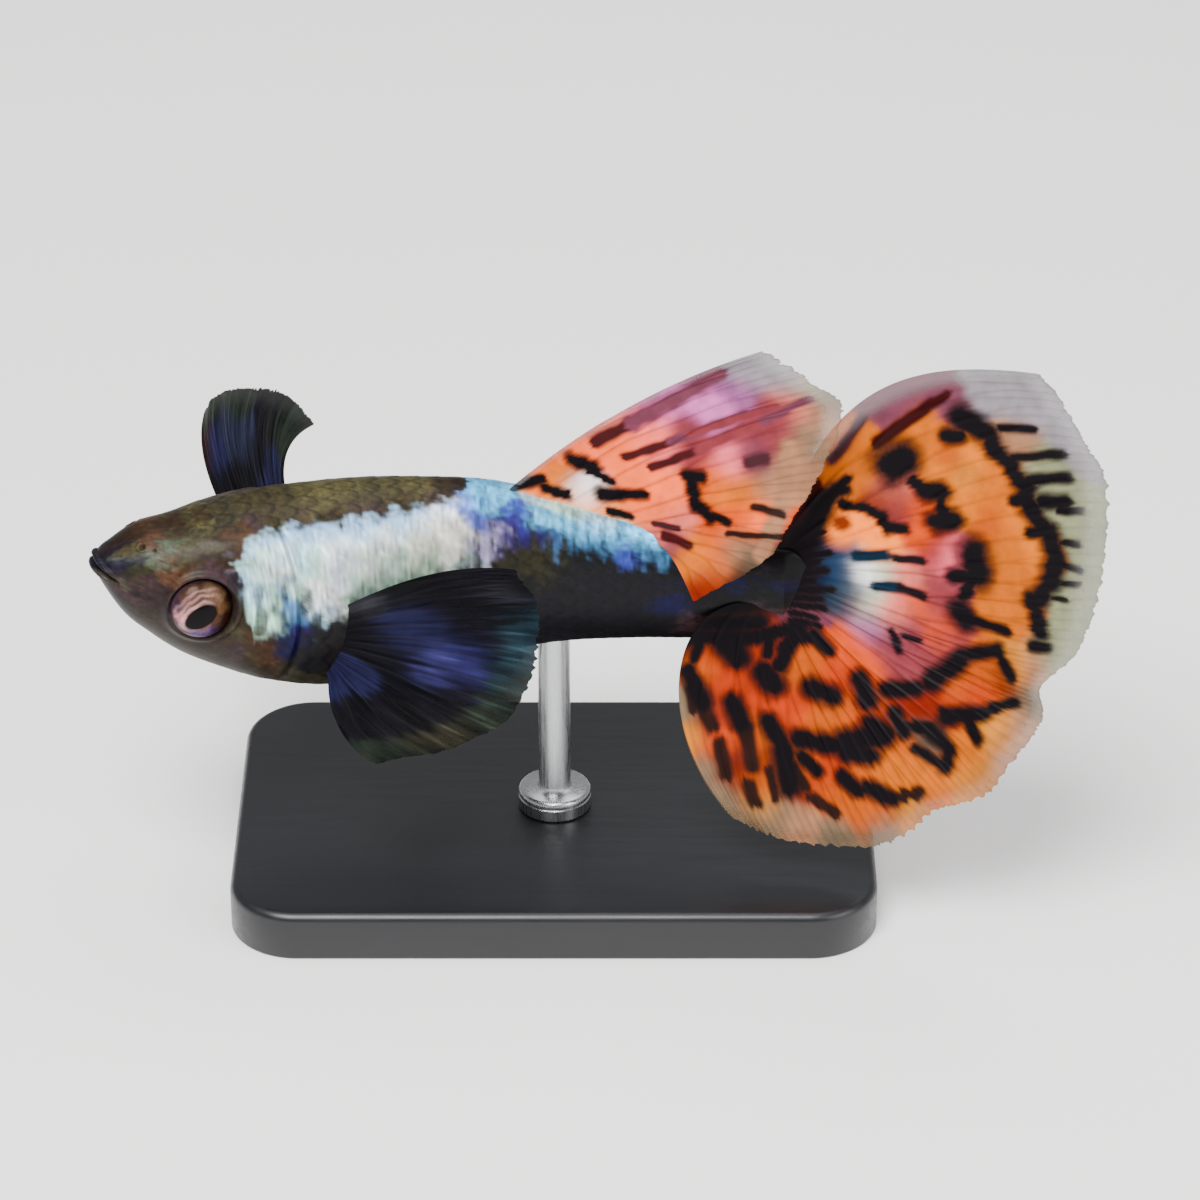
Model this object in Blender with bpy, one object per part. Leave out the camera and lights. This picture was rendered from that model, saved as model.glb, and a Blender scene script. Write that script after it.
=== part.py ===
"""Fancy guppy male, life size, swimming pose, on a plain display stand.

Lengths are in millimetres and are turned to metres as each mesh is made.
X runs along the fish with the head towards -X, its left side faces -Y and +Z is up.
The origin is the centre of the underside of the stand's base.
"""

import math

import bmesh
import bpy
import numpy as np

MM = 0.001
GAP = 0.3

# Stand
BASE_LENGTH = 28.0
BASE_WIDTH = 18.0
BASE_HEIGHT = 2.2
BASE_CORNER = 3.0
BASE_EDGE = 0.4
ROD_RADIUS = 0.7
COLLAR_RADIUS = 1.6
COLLAR_HEIGHT = 0.7

# Body: length from snout to tail root, height of its axis, and the bend of the swimming stroke
BODY_LENGTH = 30.0
AXIS_HEIGHT = 14.2
HEAD_HEADING = 18.0
TAIL_HEADING = -18.0
NECK_SHARE = 0.25
ROD_SHARE = 0.66
TORSO_START = 0.235
TORSO_END = 0.70

# Share of the length, top, bottom, half width, squareness of the upper and of the lower half
STATIONS = np.array([
    (0.000, 2.80, 2.15, 0.50, 2.0, 2.0),
    (0.008, 3.05, 1.60, 0.92, 2.1, 2.0),
    (0.030, 3.45, 0.35, 1.45, 2.2, 2.0),
    (0.070, 3.92, -1.00, 2.05, 2.4, 2.0),
    (0.110, 3.98, -2.05, 2.50, 2.5, 2.0),
    (0.160, 4.20, -2.95, 2.85, 2.5, 2.0),
    (0.220, 4.48, -3.90, 3.05, 2.4, 2.0),
    (0.300, 4.55, -4.68, 3.10, 2.2, 2.0),
    (0.390, 4.55, -4.88, 3.00, 2.1, 2.0),
    (0.480, 4.42, -4.55, 2.70, 2.0, 2.0),
    (0.570, 4.18, -4.00, 2.35, 2.0, 2.0),
    (0.660, 3.52, -3.48, 1.98, 2.0, 2.0),
    (0.780, 2.65, -3.15, 1.50, 2.0, 2.0),
    (0.890, 2.15, -2.82, 1.08, 2.0, 2.0),
    (1.000, 1.92, -1.72, 0.72, 2.0, 2.0),
])

# Gill cover: how far it reaches back past the neck cut at mid height, and how proud it stands
GILL_REACH = 0.030
GILL_RISE = 0.20
CHEEK_SHARE = 0.178

# Eye: a flattened ball in its socket
EYE_SHARE = 0.131
EYE_UP = 1.03
EYE_OUT = 2.40
EYE_RADIUS = 1.32
EYE_DEPTH = 0.75
RIM_RADIUS = 0.15

# Lips: half width of the mouth, and each lip's height above the axis, reach forward and radius
MOUTH_HALF_WIDTH = 1.18
MOUTH_DEPTH = 0.80
UPPER_LIP = (2.86, -0.02, 0.19)
LOWER_LIP = (2.46, 0.12, 0.22)
NOSTRIL = (0.066, 0.92, 0.17)

# Fins: half thickness of membrane, of a ray near the root, and of the free margin
MEMBRANE = 0.25
RAY = 0.42
MARGIN = 0.13

# Tail fin rays from the top one down: x and z of two points on the way, and of the tip,
# measured from the middle of the tail root
CAUDAL_ROOT_UP = 0.46
CAUDAL_RAYS = 20
CAUDAL_KEYS = np.array([
    [(1.9, 7.2), (5.4, 10.3), (10.0, 11.8)],
    [(3.4, 4.9), (7.8, 8.3), (11.7, 9.9)],
    [(4.6, 3.1), (8.7, 5.6), (12.8, 7.6)],
    [(4.9, 1.2), (8.9, 2.3), (12.7, 3.8)],
    [(4.4, -0.4), (8.3, -0.4), (11.7, 0.2)],
    [(4.1, -1.1), (7.8, -1.6), (10.5, -1.7)],
    [(3.6, -1.9), (7.1, -3.0), (10.2, -3.7)],
    [(2.8, -2.8), (5.7, -4.9), (8.4, -6.8)],
    [(2.0, -3.4), (4.3, -6.0), (6.4, -8.1)],
    [(0.9, -3.8), (2.6, -7.0), (4.6, -10.0)],
    [(-0.6, -3.8), (0.2, -7.5), (1.8, -10.9)],
    [(-2.4, -3.4), (-2.2, -7.1), (-0.6, -10.8)],
    [(-4.3, -2.9), (-4.4, -6.4), (-2.2, -10.1)],
])

# Dorsal fin rays from front to back: share of the length of the root, then the middle and
# the tip of the ray measured from the back at its root
DORSAL_RAYS = 9
DORSAL_SINK = 0.8
DORSAL_KEYS = [
    (0.578, (5.5, -1.0, 4.1), (11.3, -2.4, 7.6)),
    (0.634, (5.9, -1.3, 4.0), (11.6, -2.9, 6.9)),
    (0.681, (5.9, -1.6, 3.3), (11.5, -3.2, 6.1)),
    (0.722, (5.0, -1.9, 2.1), (9.6, -3.4, 3.9)),
    (0.755, (3.9, -2.1, 1.1), (7.4, -3.6, 1.9)),
    (0.781, (2.6, -2.2, 0.1), (5.4, -3.7, 0.0)),
    (0.801, (0.9, -2.1, -0.7), (1.8, -3.4, -2.0)),
]

# Pectoral fins: root on the flank, then middle and tip of each ray from the upper or leading one
PECTORAL_SHARE = 0.315
PECTORAL_UP = -1.9
PECTORAL_OUT = 2.9
PECTORAL_LEFT_CHORD = (0.4, 0.0, -2.0)
PECTORAL_RIGHT_CHORD = (1.9, 0.0, 0.6)
PECTORAL_SINK = 1.1
PECTORAL_RAYS = 12
PECTORAL_LEFT_KEYS = [
    ((4.1, -1.6, 4.7), (8.0, -2.0, 5.2)),
    ((4.8, -2.3, 3.4), (9.0, -3.0, 3.9)),
    ((4.8, -2.8, 1.8), (8.8, -3.9, 1.5)),
    ((4.1, -2.9, 0.1), (7.6, -4.2, -0.8)),
    ((2.6, -2.6, -1.2), (5.2, -3.8, -2.4)),
    ((0.4, -1.7, -2.6), (2.1, -2.6, -3.9)),
]
PECTORAL_RIGHT_KEYS = [
    ((-4.1, 5.0, 2.2), (-4.6, 8.5, 4.4)),
    ((-3.1, 4.6, 2.9), (-3.7, 7.6, 5.7)),
    ((-2.3, 4.0, 3.4), (-2.2, 6.2, 6.6)),
    ((-1.3, 3.2, 3.8), (-0.8, 4.6, 7.2)),
    ((-0.8, 2.4, 4.0), (0.7, 2.8, 6.6)),
]

# Pelvic fins: small pair under the belly
PELVIC_SHARE = 0.425
PELVIC_OUT = 0.95
PELVIC_RAYS = 5
PELVIC_KEYS = [
    ((1.5, 0.5, -1.0), (3.1, 0.9, -1.6)),
    ((1.2, 0.6, -1.2), (2.6, 1.1, -2.1)),
    ((0.8, 0.6, -1.3), (1.8, 1.1, -2.3)),
    ((0.3, 0.5, -1.2), (0.8, 0.9, -2.0)),
]

# Anal fin of a male: narrow rod of three rays folded back under the belly
ANAL_SHARE = 0.478
ANAL_LENGTH = 4.1
ANAL_ROOT_HEIGHT = 1.3
ANAL_TIP_HEIGHT = 0.45
ANAL_DROP = 0.85
ANAL_RAYS = 3


def smooth_rows(rows, at):
    """Smooth curve through the rows; the first column is the place of each row."""
    keys = rows[:, 0]
    values = rows[:, 1:]
    slope = np.gradient(values, keys, axis=0)
    at = np.asarray(at, float)
    low = np.clip(np.searchsorted(keys, at, side="right") - 1, 0, len(keys) - 2)
    step = (keys[low + 1] - keys[low])[..., None]
    t = ((at - keys[low])[..., None]) / step
    start = (2 * t ** 3 - 3 * t ** 2 + 1) * values[low] + (t ** 3 - 2 * t ** 2 + t) * step * slope[low]
    end = (3 * t ** 2 - 2 * t ** 3) * values[low + 1] + (t ** 3 - t ** 2) * step * slope[low + 1]
    return start + end


def fade(low, high, value):
    """Smooth step from 0 at low to 1 at high."""
    t = np.clip((np.asarray(value, float) - low) / (high - low), 0.0, 1.0)
    return t * t * (3.0 - 2.0 * t)


def heading(share):
    """Heading of the body axis in radians, positive where it runs away from the left side."""
    turned = HEAD_HEADING + (TAIL_HEADING - HEAD_HEADING) * (share - NECK_SHARE) / (1.0 - NECK_SHARE)
    return np.radians(np.where(share < NECK_SHARE, HEAD_HEADING, turned))


SHARES = np.linspace(-0.05, 1.10, 461)
STEPS = np.diff(SHARES) * BODY_LENGTH
MIDDLES = (SHARES[1:] + SHARES[:-1]) / 2
PATH_X = np.concatenate([[0.0], np.cumsum(np.cos(heading(MIDDLES)) * STEPS)])
PATH_Y = np.concatenate([[0.0], np.cumsum(np.sin(heading(MIDDLES)) * STEPS)])
PATH_X -= np.interp(ROD_SHARE, SHARES, PATH_X)
PATH_Y -= np.interp(ROD_SHARE, SHARES, PATH_Y)


def axis_point(share):
    """Point of the body axis at a share of the length."""
    share = np.asarray(share, float)
    x = np.interp(share, SHARES, PATH_X)
    y = np.interp(share, SHARES, PATH_Y)
    return np.stack([x, y, np.full(share.shape, AXIS_HEIGHT)], -1)


def side_way(share):
    """Unit vector square to the axis, towards the fish's right side."""
    turn = heading(np.asarray(share, float))
    return np.stack([-np.sin(turn), np.cos(turn), np.zeros_like(turn)], -1)


def local_point(share, out, up):
    """Point given by its place along the body, its distance to the right and its height."""
    share, out, up = np.broadcast_arrays(*[np.asarray(v, float) for v in (share, out, up)])
    point = axis_point(share) + side_way(share) * out[..., None]
    point[..., 2] += up
    return point


def body_skin(share, angle, grow=0.0):
    """Point on the skin; angle 0 is the right flank and 90 degrees is the back."""
    share, angle = np.broadcast_arrays(np.asarray(share, float), np.asarray(angle, float))
    row = smooth_rows(STATIONS, share)
    top = row[..., 0] + grow
    bottom = row[..., 1] - grow
    width = row[..., 2] + grow
    cosine = np.cos(angle)
    sine = np.sin(angle)
    power = 2.0 / np.where(sine >= 0.0, row[..., 3], row[..., 4])
    out = width * np.sign(cosine) * np.abs(cosine) ** power
    up = (top + bottom) / 2 + (top - bottom) / 2 * np.sign(sine) * np.abs(sine) ** power
    return local_point(share, out, up)


def flank_out(share, up):
    """Half width of the body at a height above the axis."""
    top, bottom, width, upper, lower = smooth_rows(STATIONS, np.asarray(share, float)).T
    middle = (top + bottom) / 2
    power = np.where(up >= middle, upper, lower)
    rise = np.clip(np.abs((up - middle) / ((top - bottom) / 2)), 0.0, 0.999)
    return width * (1.0 - rise ** power) ** (1.0 / power)


def gill_edge(angle):
    """Share of the length where the gill cover ends, at each angle round the body."""
    side = np.abs(np.cos(angle)) ** 1.5
    return TORSO_START + GILL_REACH * side - 0.012 * np.clip(-np.sin(angle), 0.0, 1.0)


def new_object(name, points, faces):
    """Mesh object from points in millimetres."""
    mesh = bpy.data.meshes.new(name)
    mesh.from_pydata([tuple(float(c) * MM for c in p) for p in points], [], faces)
    mesh.validate()
    mesh.update()
    thing = bpy.data.objects.new(name, mesh)
    bpy.context.scene.collection.objects.link(thing)
    work = bmesh.new()
    work.from_mesh(mesh)
    bmesh.ops.recalc_face_normals(work, faces=work.faces)
    bmesh.ops.triangulate(work, faces=work.faces)
    if work.calc_volume(signed=True) < 0.0:
        bmesh.ops.reverse_faces(work, faces=work.faces)
    work.to_mesh(mesh)
    work.free()
    return thing


def loft(name, rings, first, last):
    """Closed body from rings of equal count, closed at each end on its own point."""
    count = len(rings[0])
    points = [p for ring in rings for p in ring] + [first, last]
    faces = []
    for row in range(len(rings) - 1):
        for col in range(count):
            here = row * count + col
            beside = row * count + (col + 1) % count
            faces.append((here, beside, beside + count, here + count))
    start = len(points) - 2
    end = start + 1
    back = (len(rings) - 1) * count
    for col in range(count):
        beside = (col + 1) % count
        faces.append((start, beside, col))
        faces.append((end, back + col, back + beside))
    return new_object(name, points, faces)


def tube(name, path, radii, sides):
    """Closed tube along a path with a radius for each point."""
    path = np.asarray(path, float)
    way = np.gradient(path, axis=0)
    way /= np.linalg.norm(way, axis=1)[:, None]
    angles = np.linspace(0.0, 2 * math.pi, sides, endpoint=False)
    rings = []
    for point, along, radius in zip(path, way, radii):
        across = np.cross(along, (0.13, 0.21, 0.97))
        across /= np.linalg.norm(across)
        upright = np.cross(along, across)
        ring = [point + radius * (math.cos(a) * across + math.sin(a) * upright) for a in angles]
        rings.append(ring)
    return loft(name, rings, path[0] - way[0] * radii[0] * 0.4, path[-1] + way[-1] * radii[-1] * 0.4)


def ring_tube(name, path, radius, sides):
    """Closed ring of even thickness along a closed path."""
    path = np.asarray(path, float)
    way = np.roll(path, -1, axis=0) - np.roll(path, 1, axis=0)
    way /= np.linalg.norm(way, axis=1)[:, None]
    centre = path.mean(axis=0)
    points = []
    for point, along in zip(path, way):
        outward = point - centre
        outward -= along * np.dot(outward, along)
        outward /= np.linalg.norm(outward)
        upright = np.cross(along, outward)
        for step in range(sides):
            a = 2 * math.pi * step / sides
            points.append(point + radius * (math.cos(a) * outward + math.sin(a) * upright))
    count = len(path)
    faces = []
    for row in range(count):
        for step in range(sides):
            here = row * sides + step
            beside = row * sides + (step + 1) % sides
            jump = ((row + 1) % count - row) * sides
            faces.append((here, beside, beside + jump, here + jump))
    return new_object(name, points, faces)


def ball(name, centre, axes, radii, rows, columns):
    """Ellipsoid with its own three axes."""
    rings = []
    for row in range(1, rows):
        polar = math.pi * row / rows
        ring = []
        for col in range(columns):
            turn = 2 * math.pi * col / columns
            spot = (math.sin(polar) * math.cos(turn), math.sin(polar) * math.sin(turn), math.cos(polar))
            ring.append(centre + sum(axes[k] * radii[k] * spot[k] for k in range(3)))
        rings.append(ring)
    return loft(name, rings, centre + axes[2] * radii[2], centre - axes[2] * radii[2])


def drop(thing):
    """Remove a helper object and its mesh."""
    mesh = thing.data
    bpy.data.objects.remove(thing)
    bpy.data.meshes.remove(mesh)


def keep_largest(thing):
    """Keep only the closed surface that holds the most volume."""
    work = bmesh.new()
    work.from_mesh(thing.data)
    waiting = set(work.faces)
    groups = []
    while waiting:
        seed = waiting.pop()
        group = [seed]
        stack = [seed]
        while stack:
            for edge in stack.pop().edges:
                for face in edge.link_faces:
                    if face in waiting:
                        waiting.remove(face)
                        group.append(face)
                        stack.append(face)
        groups.append(group)
    sizes = []
    for group in groups:
        size = 0.0
        for face in group:
            corners = [v.co for v in face.verts]
            for k in range(1, len(corners) - 1):
                size += corners[0].dot(corners[k].cross(corners[k + 1])) / 6.0
        sizes.append(abs(size))
    best = sizes.index(max(sizes))
    extra = [face for k, group in enumerate(groups) if k != best for face in group]
    bmesh.ops.delete(work, geom=extra, context="FACES")
    loose = [v for v in work.verts if not v.link_faces]
    bmesh.ops.delete(work, geom=loose, context="VERTS")
    work.to_mesh(thing.data)
    work.free()


def apply_boolean(thing, helpers, operation):
    """Join helpers to a thing, or cut them away, then drop them."""
    group = bpy.data.collections.new("helpers")
    bpy.context.scene.collection.children.link(group)
    for helper in helpers:
        bpy.context.scene.collection.objects.unlink(helper)
        group.objects.link(helper)
    modifier = thing.modifiers.new(operation.lower(), "BOOLEAN")
    modifier.operation = operation
    modifier.solver = "EXACT"
    modifier.operand_type = "COLLECTION"
    modifier.collection = group
    graph = bpy.context.evaluated_depsgraph_get()
    made = bpy.data.meshes.new_from_object(thing.evaluated_get(graph), depsgraph=graph)
    old = thing.data
    thing.modifiers.clear()
    thing.data = made
    bpy.data.meshes.remove(old)
    for helper in list(helpers):
        drop(helper)
    bpy.data.collections.remove(group)
    keep_largest(thing)


def colour_of(hex_code):
    """Linear colour of an sRGB hex code."""
    parts = [int(hex_code[k:k + 2], 16) / 255.0 for k in (0, 2, 4)]
    linear = [c / 12.92 if c <= 0.04045 else ((c + 0.055) / 1.055) ** 2.4 for c in parts]
    return (*linear, 1.0)


def finish(thing, name, hex_code, roughness, metallic=0.0, sharp=40.0):
    """Give a part its name, its material and smooth shading."""
    thing.name = name
    thing.data.name = name
    material = bpy.data.materials.new(name + "_finish")
    material.use_nodes = True
    shader = material.node_tree.nodes["Principled BSDF"]
    shader.inputs["Base Color"].default_value = colour_of(hex_code)
    shader.inputs["Roughness"].default_value = roughness
    shader.inputs["Metallic"].default_value = metallic
    thing.data.materials.clear()
    thing.data.materials.append(material)
    thing.data.shade_smooth()
    thing.data.set_sharp_from_angle(angle=math.radians(sharp))
    return thing


def body_rings(shares, segments, start_edge, grow=0.0, rise=None):
    """Rings of the skin; start_edge gives the warp that follows the gill cover."""
    angles = np.linspace(0.0, 2 * math.pi, segments, endpoint=False)
    rings = []
    for share in shares:
        places = share + (gill_edge(angles) - TORSO_START) * start_edge(share)
        extra = grow if rise is None else grow + rise(places, angles)
        rings.append(body_skin(places, angles, extra))
    return rings


def gill_rise(places, angles):
    """How proud the gill cover stands of the cheek, on both flanks."""
    side = fade(0.25, 0.75, np.abs(np.cos(angles)))
    cover = fade(CHEEK_SHARE - 0.012, CHEEK_SHARE + 0.012, places)
    groove = np.exp(-((places - CHEEK_SHARE + 0.006) / 0.007) ** 2)
    return side * (GILL_RISE * cover - 0.5 * GILL_RISE * groove)


def lip_path(lip):
    """Path of a lip round the snout from one corner of the mouth to the other."""
    up, reach, radius = lip
    angles = np.radians(np.linspace(-88.0, 88.0, 15))
    along = MOUTH_DEPTH * (1.0 - np.cos(angles)) - reach
    heights = up - 0.55 * (1.0 - np.cos(angles))
    path = local_point(along / BODY_LENGTH, MOUTH_HALF_WIDTH * np.sin(angles), heights)
    return path, radius * (0.45 + 0.55 * np.cos(angles))


def eye_frame(side):
    """Centre and axes of an eye; side is 1 on the right and -1 on the left."""
    centre = local_point(EYE_SHARE, side * EYE_OUT, EYE_UP)
    outward = side_way(EYE_SHARE) * side * math.cos(math.radians(8.0))
    outward[2] += math.sin(math.radians(8.0))
    along = np.cross(outward, (0.0, 0.0, 1.0))
    along /= np.linalg.norm(along)
    return centre, (along, np.cross(outward, along), outward)


def eye_ball(name, side, grow, rows, columns):
    """Eye, or the socket for it when it is grown."""
    centre, axes = eye_frame(side)
    radii = (EYE_RADIUS + grow, EYE_RADIUS + grow, EYE_DEPTH + grow)
    return ball(name, centre, axes, radii, rows, columns)


def eye_rim(side):
    """Raised rim of the orbit, laid on the cheek round the eye."""
    reach = EYE_RADIUS + GAP + RIM_RADIUS * 0.6
    angles = np.linspace(0.0, 2 * math.pi, 24, endpoint=False)
    places = EYE_SHARE + reach * np.cos(angles) / BODY_LENGTH
    ups = EYE_UP + reach * np.sin(angles)
    outs = flank_out(places, ups)
    return ring_tube("rim", local_point(places, side * outs, ups), RIM_RADIUS, 6)


def nostril(side):
    """Cutter for one nostril pit on top of the snout."""
    share, out, radius = NOSTRIL
    top, bottom, width, upper, lower = smooth_rows(STATIONS, np.array(share))
    height = (top + bottom) / 2 + (top - bottom) / 2 * (1.0 - (out / width) ** upper) ** (1.0 / upper)
    centre = local_point(share, side * out, height + 0.02)
    axes = (np.array((1.0, 0.0, 0.0)), np.array((0.0, 1.0, 0.0)), np.array((0.0, 0.0, 1.0)))
    return ball("nostril", centre, axes, (radius, radius, radius), 6, 8)


def make_head():
    """Head with lips, nostrils, orbits and gill covers."""
    near_snout = [0.0, 0.004, 0.010, 0.018, 0.028]
    shares = near_snout + list(np.linspace(0.040, TORSO_START, 20))
    rings = body_rings(shares, 40, lambda share: float(fade(0.12, TORSO_START, share)), rise=gill_rise)
    head = loft("head", rings, local_point(-0.004, 0.0, 2.45), local_point(TORSO_START, 0.0, 0.3))
    lips = []
    for lip in (UPPER_LIP, LOWER_LIP):
        path, radii = lip_path(lip)
        lips.append(tube("lip", path, radii, 8))
    apply_boolean(head, lips + [eye_rim(-1), eye_rim(1)], "UNION")
    sockets = [eye_ball("socket", side, GAP, 10, 20) for side in (-1, 1)]
    apply_boolean(head, sockets + [nostril(-1), nostril(1)], "DIFFERENCE")
    return finish(head, "head", "6E6450", 0.38)


def make_torso(grow=0.0):
    """Trunk from the gill cover to the tail stalk."""
    start = TORSO_START + (GAP - grow) / BODY_LENGTH
    end = TORSO_END + grow / BODY_LENGTH
    shares = np.linspace(start, end, 17)
    warp = lambda share: float(1.0 - fade(start, start + 0.10, share))
    rings = body_rings(shares, 32, warp, grow)
    return loft("torso", rings, local_point(start, 0.0, 0.3), local_point(end, 0.0, 0.0))


def make_peduncle(grow=0.0):
    """Tail stalk with its rounded end."""
    start = TORSO_END + (GAP - grow) / BODY_LENGTH
    angles = np.linspace(0.0, 2 * math.pi, 28, endpoint=False)
    shares = list(np.linspace(start, 1.0, 10))
    rings = [body_skin(share, angles, grow) for share in shares]
    end = 1.0 + 0.006 + grow / BODY_LENGTH
    middle = np.mean(rings[-1], axis=0)
    step = axis_point(end) - axis_point(1.0)
    rings.append(middle + (rings[-1] - middle) * 0.86 + step)
    return loft("caudal_peduncle", rings, local_point(start, 0.0, 0.0), middle + step * 1.3)


def curve_through(points, at):
    """Smooth curve through evenly spaced points."""
    points = np.asarray(points, float)
    rows = np.column_stack([np.linspace(0.0, 1.0, len(points)), points.reshape(len(points), -1)])
    shape = np.shape(at) + points.shape[1:]
    return smooth_rows(rows, np.asarray(at, float)).reshape(shape)


def ray_points(root, middle, tip, along):
    """Points on the curve that runs from the root through the middle of a ray to its tip."""
    a = along[None, :, None]
    start = (1.0 - a) * (1.0 - 2.0 * a)
    centre = 4.0 * a * (1.0 - a)
    end = a * (2.0 * a - 1.0)
    return start * root[:, None] + centre * middle[:, None] + end * tip[:, None]


def ray_columns(rays):
    """Places of the columns across a fin, and how much each stands proud as a ray."""
    foot = 0.26 / (rays - 1)
    places = []
    proud = []
    for ray in range(rays):
        centre = ray / (rays - 1)
        for shift, height in ((-foot, 0.0), (0.0, 1.0), (foot, 0.0)):
            place = centre + shift
            if -1e-9 <= place <= 1.0 + 1e-9:
                places.append(place)
                proud.append(height)
    return np.array(places), np.array(proud)


def fin_sheet(name, surface, proud, along, ray_half, root_half=MEMBRANE):
    """Closed thin sheet over a grid of points, with rays as ridges on both faces."""
    columns, rows = surface.shape[:2]
    down = np.gradient(surface, along, axis=1)
    across = np.gradient(surface, axis=0)
    normal = np.cross(down, across)
    normal /= np.linalg.norm(normal, axis=2)[..., None]
    common = normal[:, : rows // 2].mean(axis=(0, 1))
    steady = fade(0.05, 0.45, along)[None, :, None]
    normal = common * (1.0 - steady) + normal * steady
    normal /= np.linalg.norm(normal, axis=2)[..., None]
    rise = proud[:, None] * fade(0.04, 0.30, along)[None, :] * (1.0 - 0.55 * along[None, :])
    half = MEMBRANE + (ray_half - MEMBRANE) * rise
    half += (root_half - MEMBRANE) * (1.0 - fade(0.0, 0.35, along))[None, :]
    half[:, -1] = MARGIN
    front = surface + normal * half[..., None]
    back = surface - normal * half[..., None]
    points = list(front.reshape(-1, 3)) + list(back.reshape(-1, 3))
    behind = columns * rows
    faces = []
    for col in range(columns - 1):
        for row in range(rows - 1):
            a = col * rows + row
            b = a + rows
            faces.append((a, b, b + 1))
            faces.append((a, b + 1, a + 1))
            faces.append((a + behind, b + 1 + behind, b + behind))
            faces.append((a + behind, a + 1 + behind, b + 1 + behind))
    edge = [row for row in range(rows)]
    edge += [col * rows + rows - 1 for col in range(1, columns)]
    edge += [(columns - 1) * rows + row for row in range(rows - 2, -1, -1)]
    edge += [col * rows for col in range(columns - 2, 0, -1)]
    for k, here in enumerate(edge):
        beside = edge[(k + 1) % len(edge)]
        faces.append((here, beside, beside + behind))
        faces.append((here, beside + behind, here + behind))
    return new_object(name, points, faces)


def caudal_depth(x, z):
    """How far the tail fin swings to the fish's left, from its bend and its lean."""
    bend = 0.18 * (x + np.sqrt(x ** 2 + 1.0)) - 0.18 + 0.02 * np.clip(x, 0.0, None) ** 2
    lean = 0.24 * z - 0.12 * (np.sqrt(z ** 2 + 4.0) - 2.0)
    return lean - bend


def caudal_surface(places, along):
    """Grid over the tail fin, laid out flat and then bent."""
    keys = curve_through(CAUDAL_KEYS, places)
    root = np.stack([-0.5 - 1.5 * places ** 5, 1.15 - 2.75 * places + 0.6 * places ** 6], -1)
    points = [root] + [keys[:, k] for k in range(3)]
    knots = np.array([0.0, 1.0, 2.0, 3.0]) / 3.0
    flat = np.zeros((len(places), len(along), 2))
    for k, point in enumerate(points):
        weight = np.ones_like(along)
        for m, knot in enumerate(knots):
            if m != k:
                weight = weight * (along - knot) / (knots[k] - knot)
        flat += weight[None, :, None] * point[:, None]
    origin = axis_point(1.0)
    x = flat[..., 0]
    z = flat[..., 1]
    return np.stack([origin[0] + x, origin[1] + caudal_depth(x, z), origin[2] + CAUDAL_ROOT_UP + z], -1)


def dorsal_surface(places, along):
    """Grid over the dorsal fin, which droops over the left of the tail stalk at its rear."""
    shares = curve_through([key[0] for key in DORSAL_KEYS], places)
    middles = curve_through([key[1] for key in DORSAL_KEYS], places)
    tips = curve_through([key[2] for key in DORSAL_KEYS], places)
    back = body_skin(shares, math.pi / 2)
    root = back - np.array((0.0, 0.0, DORSAL_SINK))
    return ray_points(root, back + middles, back + tips, along)


def pectoral_surface(keys, side, chord, places, along):
    """Grid over a pectoral fin; side is 1 on the right and -1 on the left."""
    centre = local_point(PECTORAL_SHARE, side * PECTORAL_OUT, PECTORAL_UP)
    middles = curve_through([key[0] for key in keys], places)
    tips = curve_through([key[1] for key in keys], places)
    sink = side_way(PECTORAL_SHARE) * side * PECTORAL_SINK
    start = centre - sink + (places[:, None] - 0.5) * np.array(chord)
    return ray_points(start, centre + middles, centre + tips, along)


def pelvic_surface(side, places, along):
    """Grid over a pelvic fin, from its leading ray inwards."""
    turn = np.array((1.0, side, 1.0))
    root = body_skin(PELVIC_SHARE, -math.pi / 2)
    root = root + side_way(PELVIC_SHARE) * side * PELVIC_OUT + np.array((0.0, 0.0, 0.25))
    middles = root + curve_through([key[0] for key in PELVIC_KEYS], places) * turn
    tips = root + curve_through([key[1] for key in PELVIC_KEYS], places) * turn
    starts = root + np.stack([-0.5 * (places - 0.4), 0.0 * places, 0.6 + 0.0 * places], -1)
    return ray_points(starts, middles, tips, along)


def anal_surface(places, along):
    """Grid over the narrow anal fin, in the middle plane under the belly."""
    shares = ANAL_SHARE + along * ANAL_LENGTH / BODY_LENGTH
    belly = body_skin(shares, -math.pi / 2)
    height = ANAL_ROOT_HEIGHT + (ANAL_TIP_HEIGHT - ANAL_ROOT_HEIGHT) * fade(0.0, 0.45, along)
    drop_by = ANAL_DROP * fade(0.0, 0.3, along) - 0.15 * along
    middle = belly[:, 2] - drop_by + 0.3 * (1.0 - fade(0.0, 0.3, along))
    grid = np.repeat(belly[None], len(places), axis=0)
    grid[..., 2] = middle[None, :] + (0.5 - places[:, None]) * height[None, :]
    return grid


def clear_of_body(fin, cutters):
    """Cut a fin back so that it meets the body with the common gap."""
    apply_boolean(fin, cutters, "DIFFERENCE")
    return fin


def make_fin(name, build, rays, rows, ray_half=RAY, root_half=MEMBRANE):
    """Fin from a function that lays its grid."""
    places, proud = ray_columns(rays)
    along = np.linspace(0.0, 1.0, rows)
    return fin_sheet(name, build(places, along), proud, along, ray_half, root_half)


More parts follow.
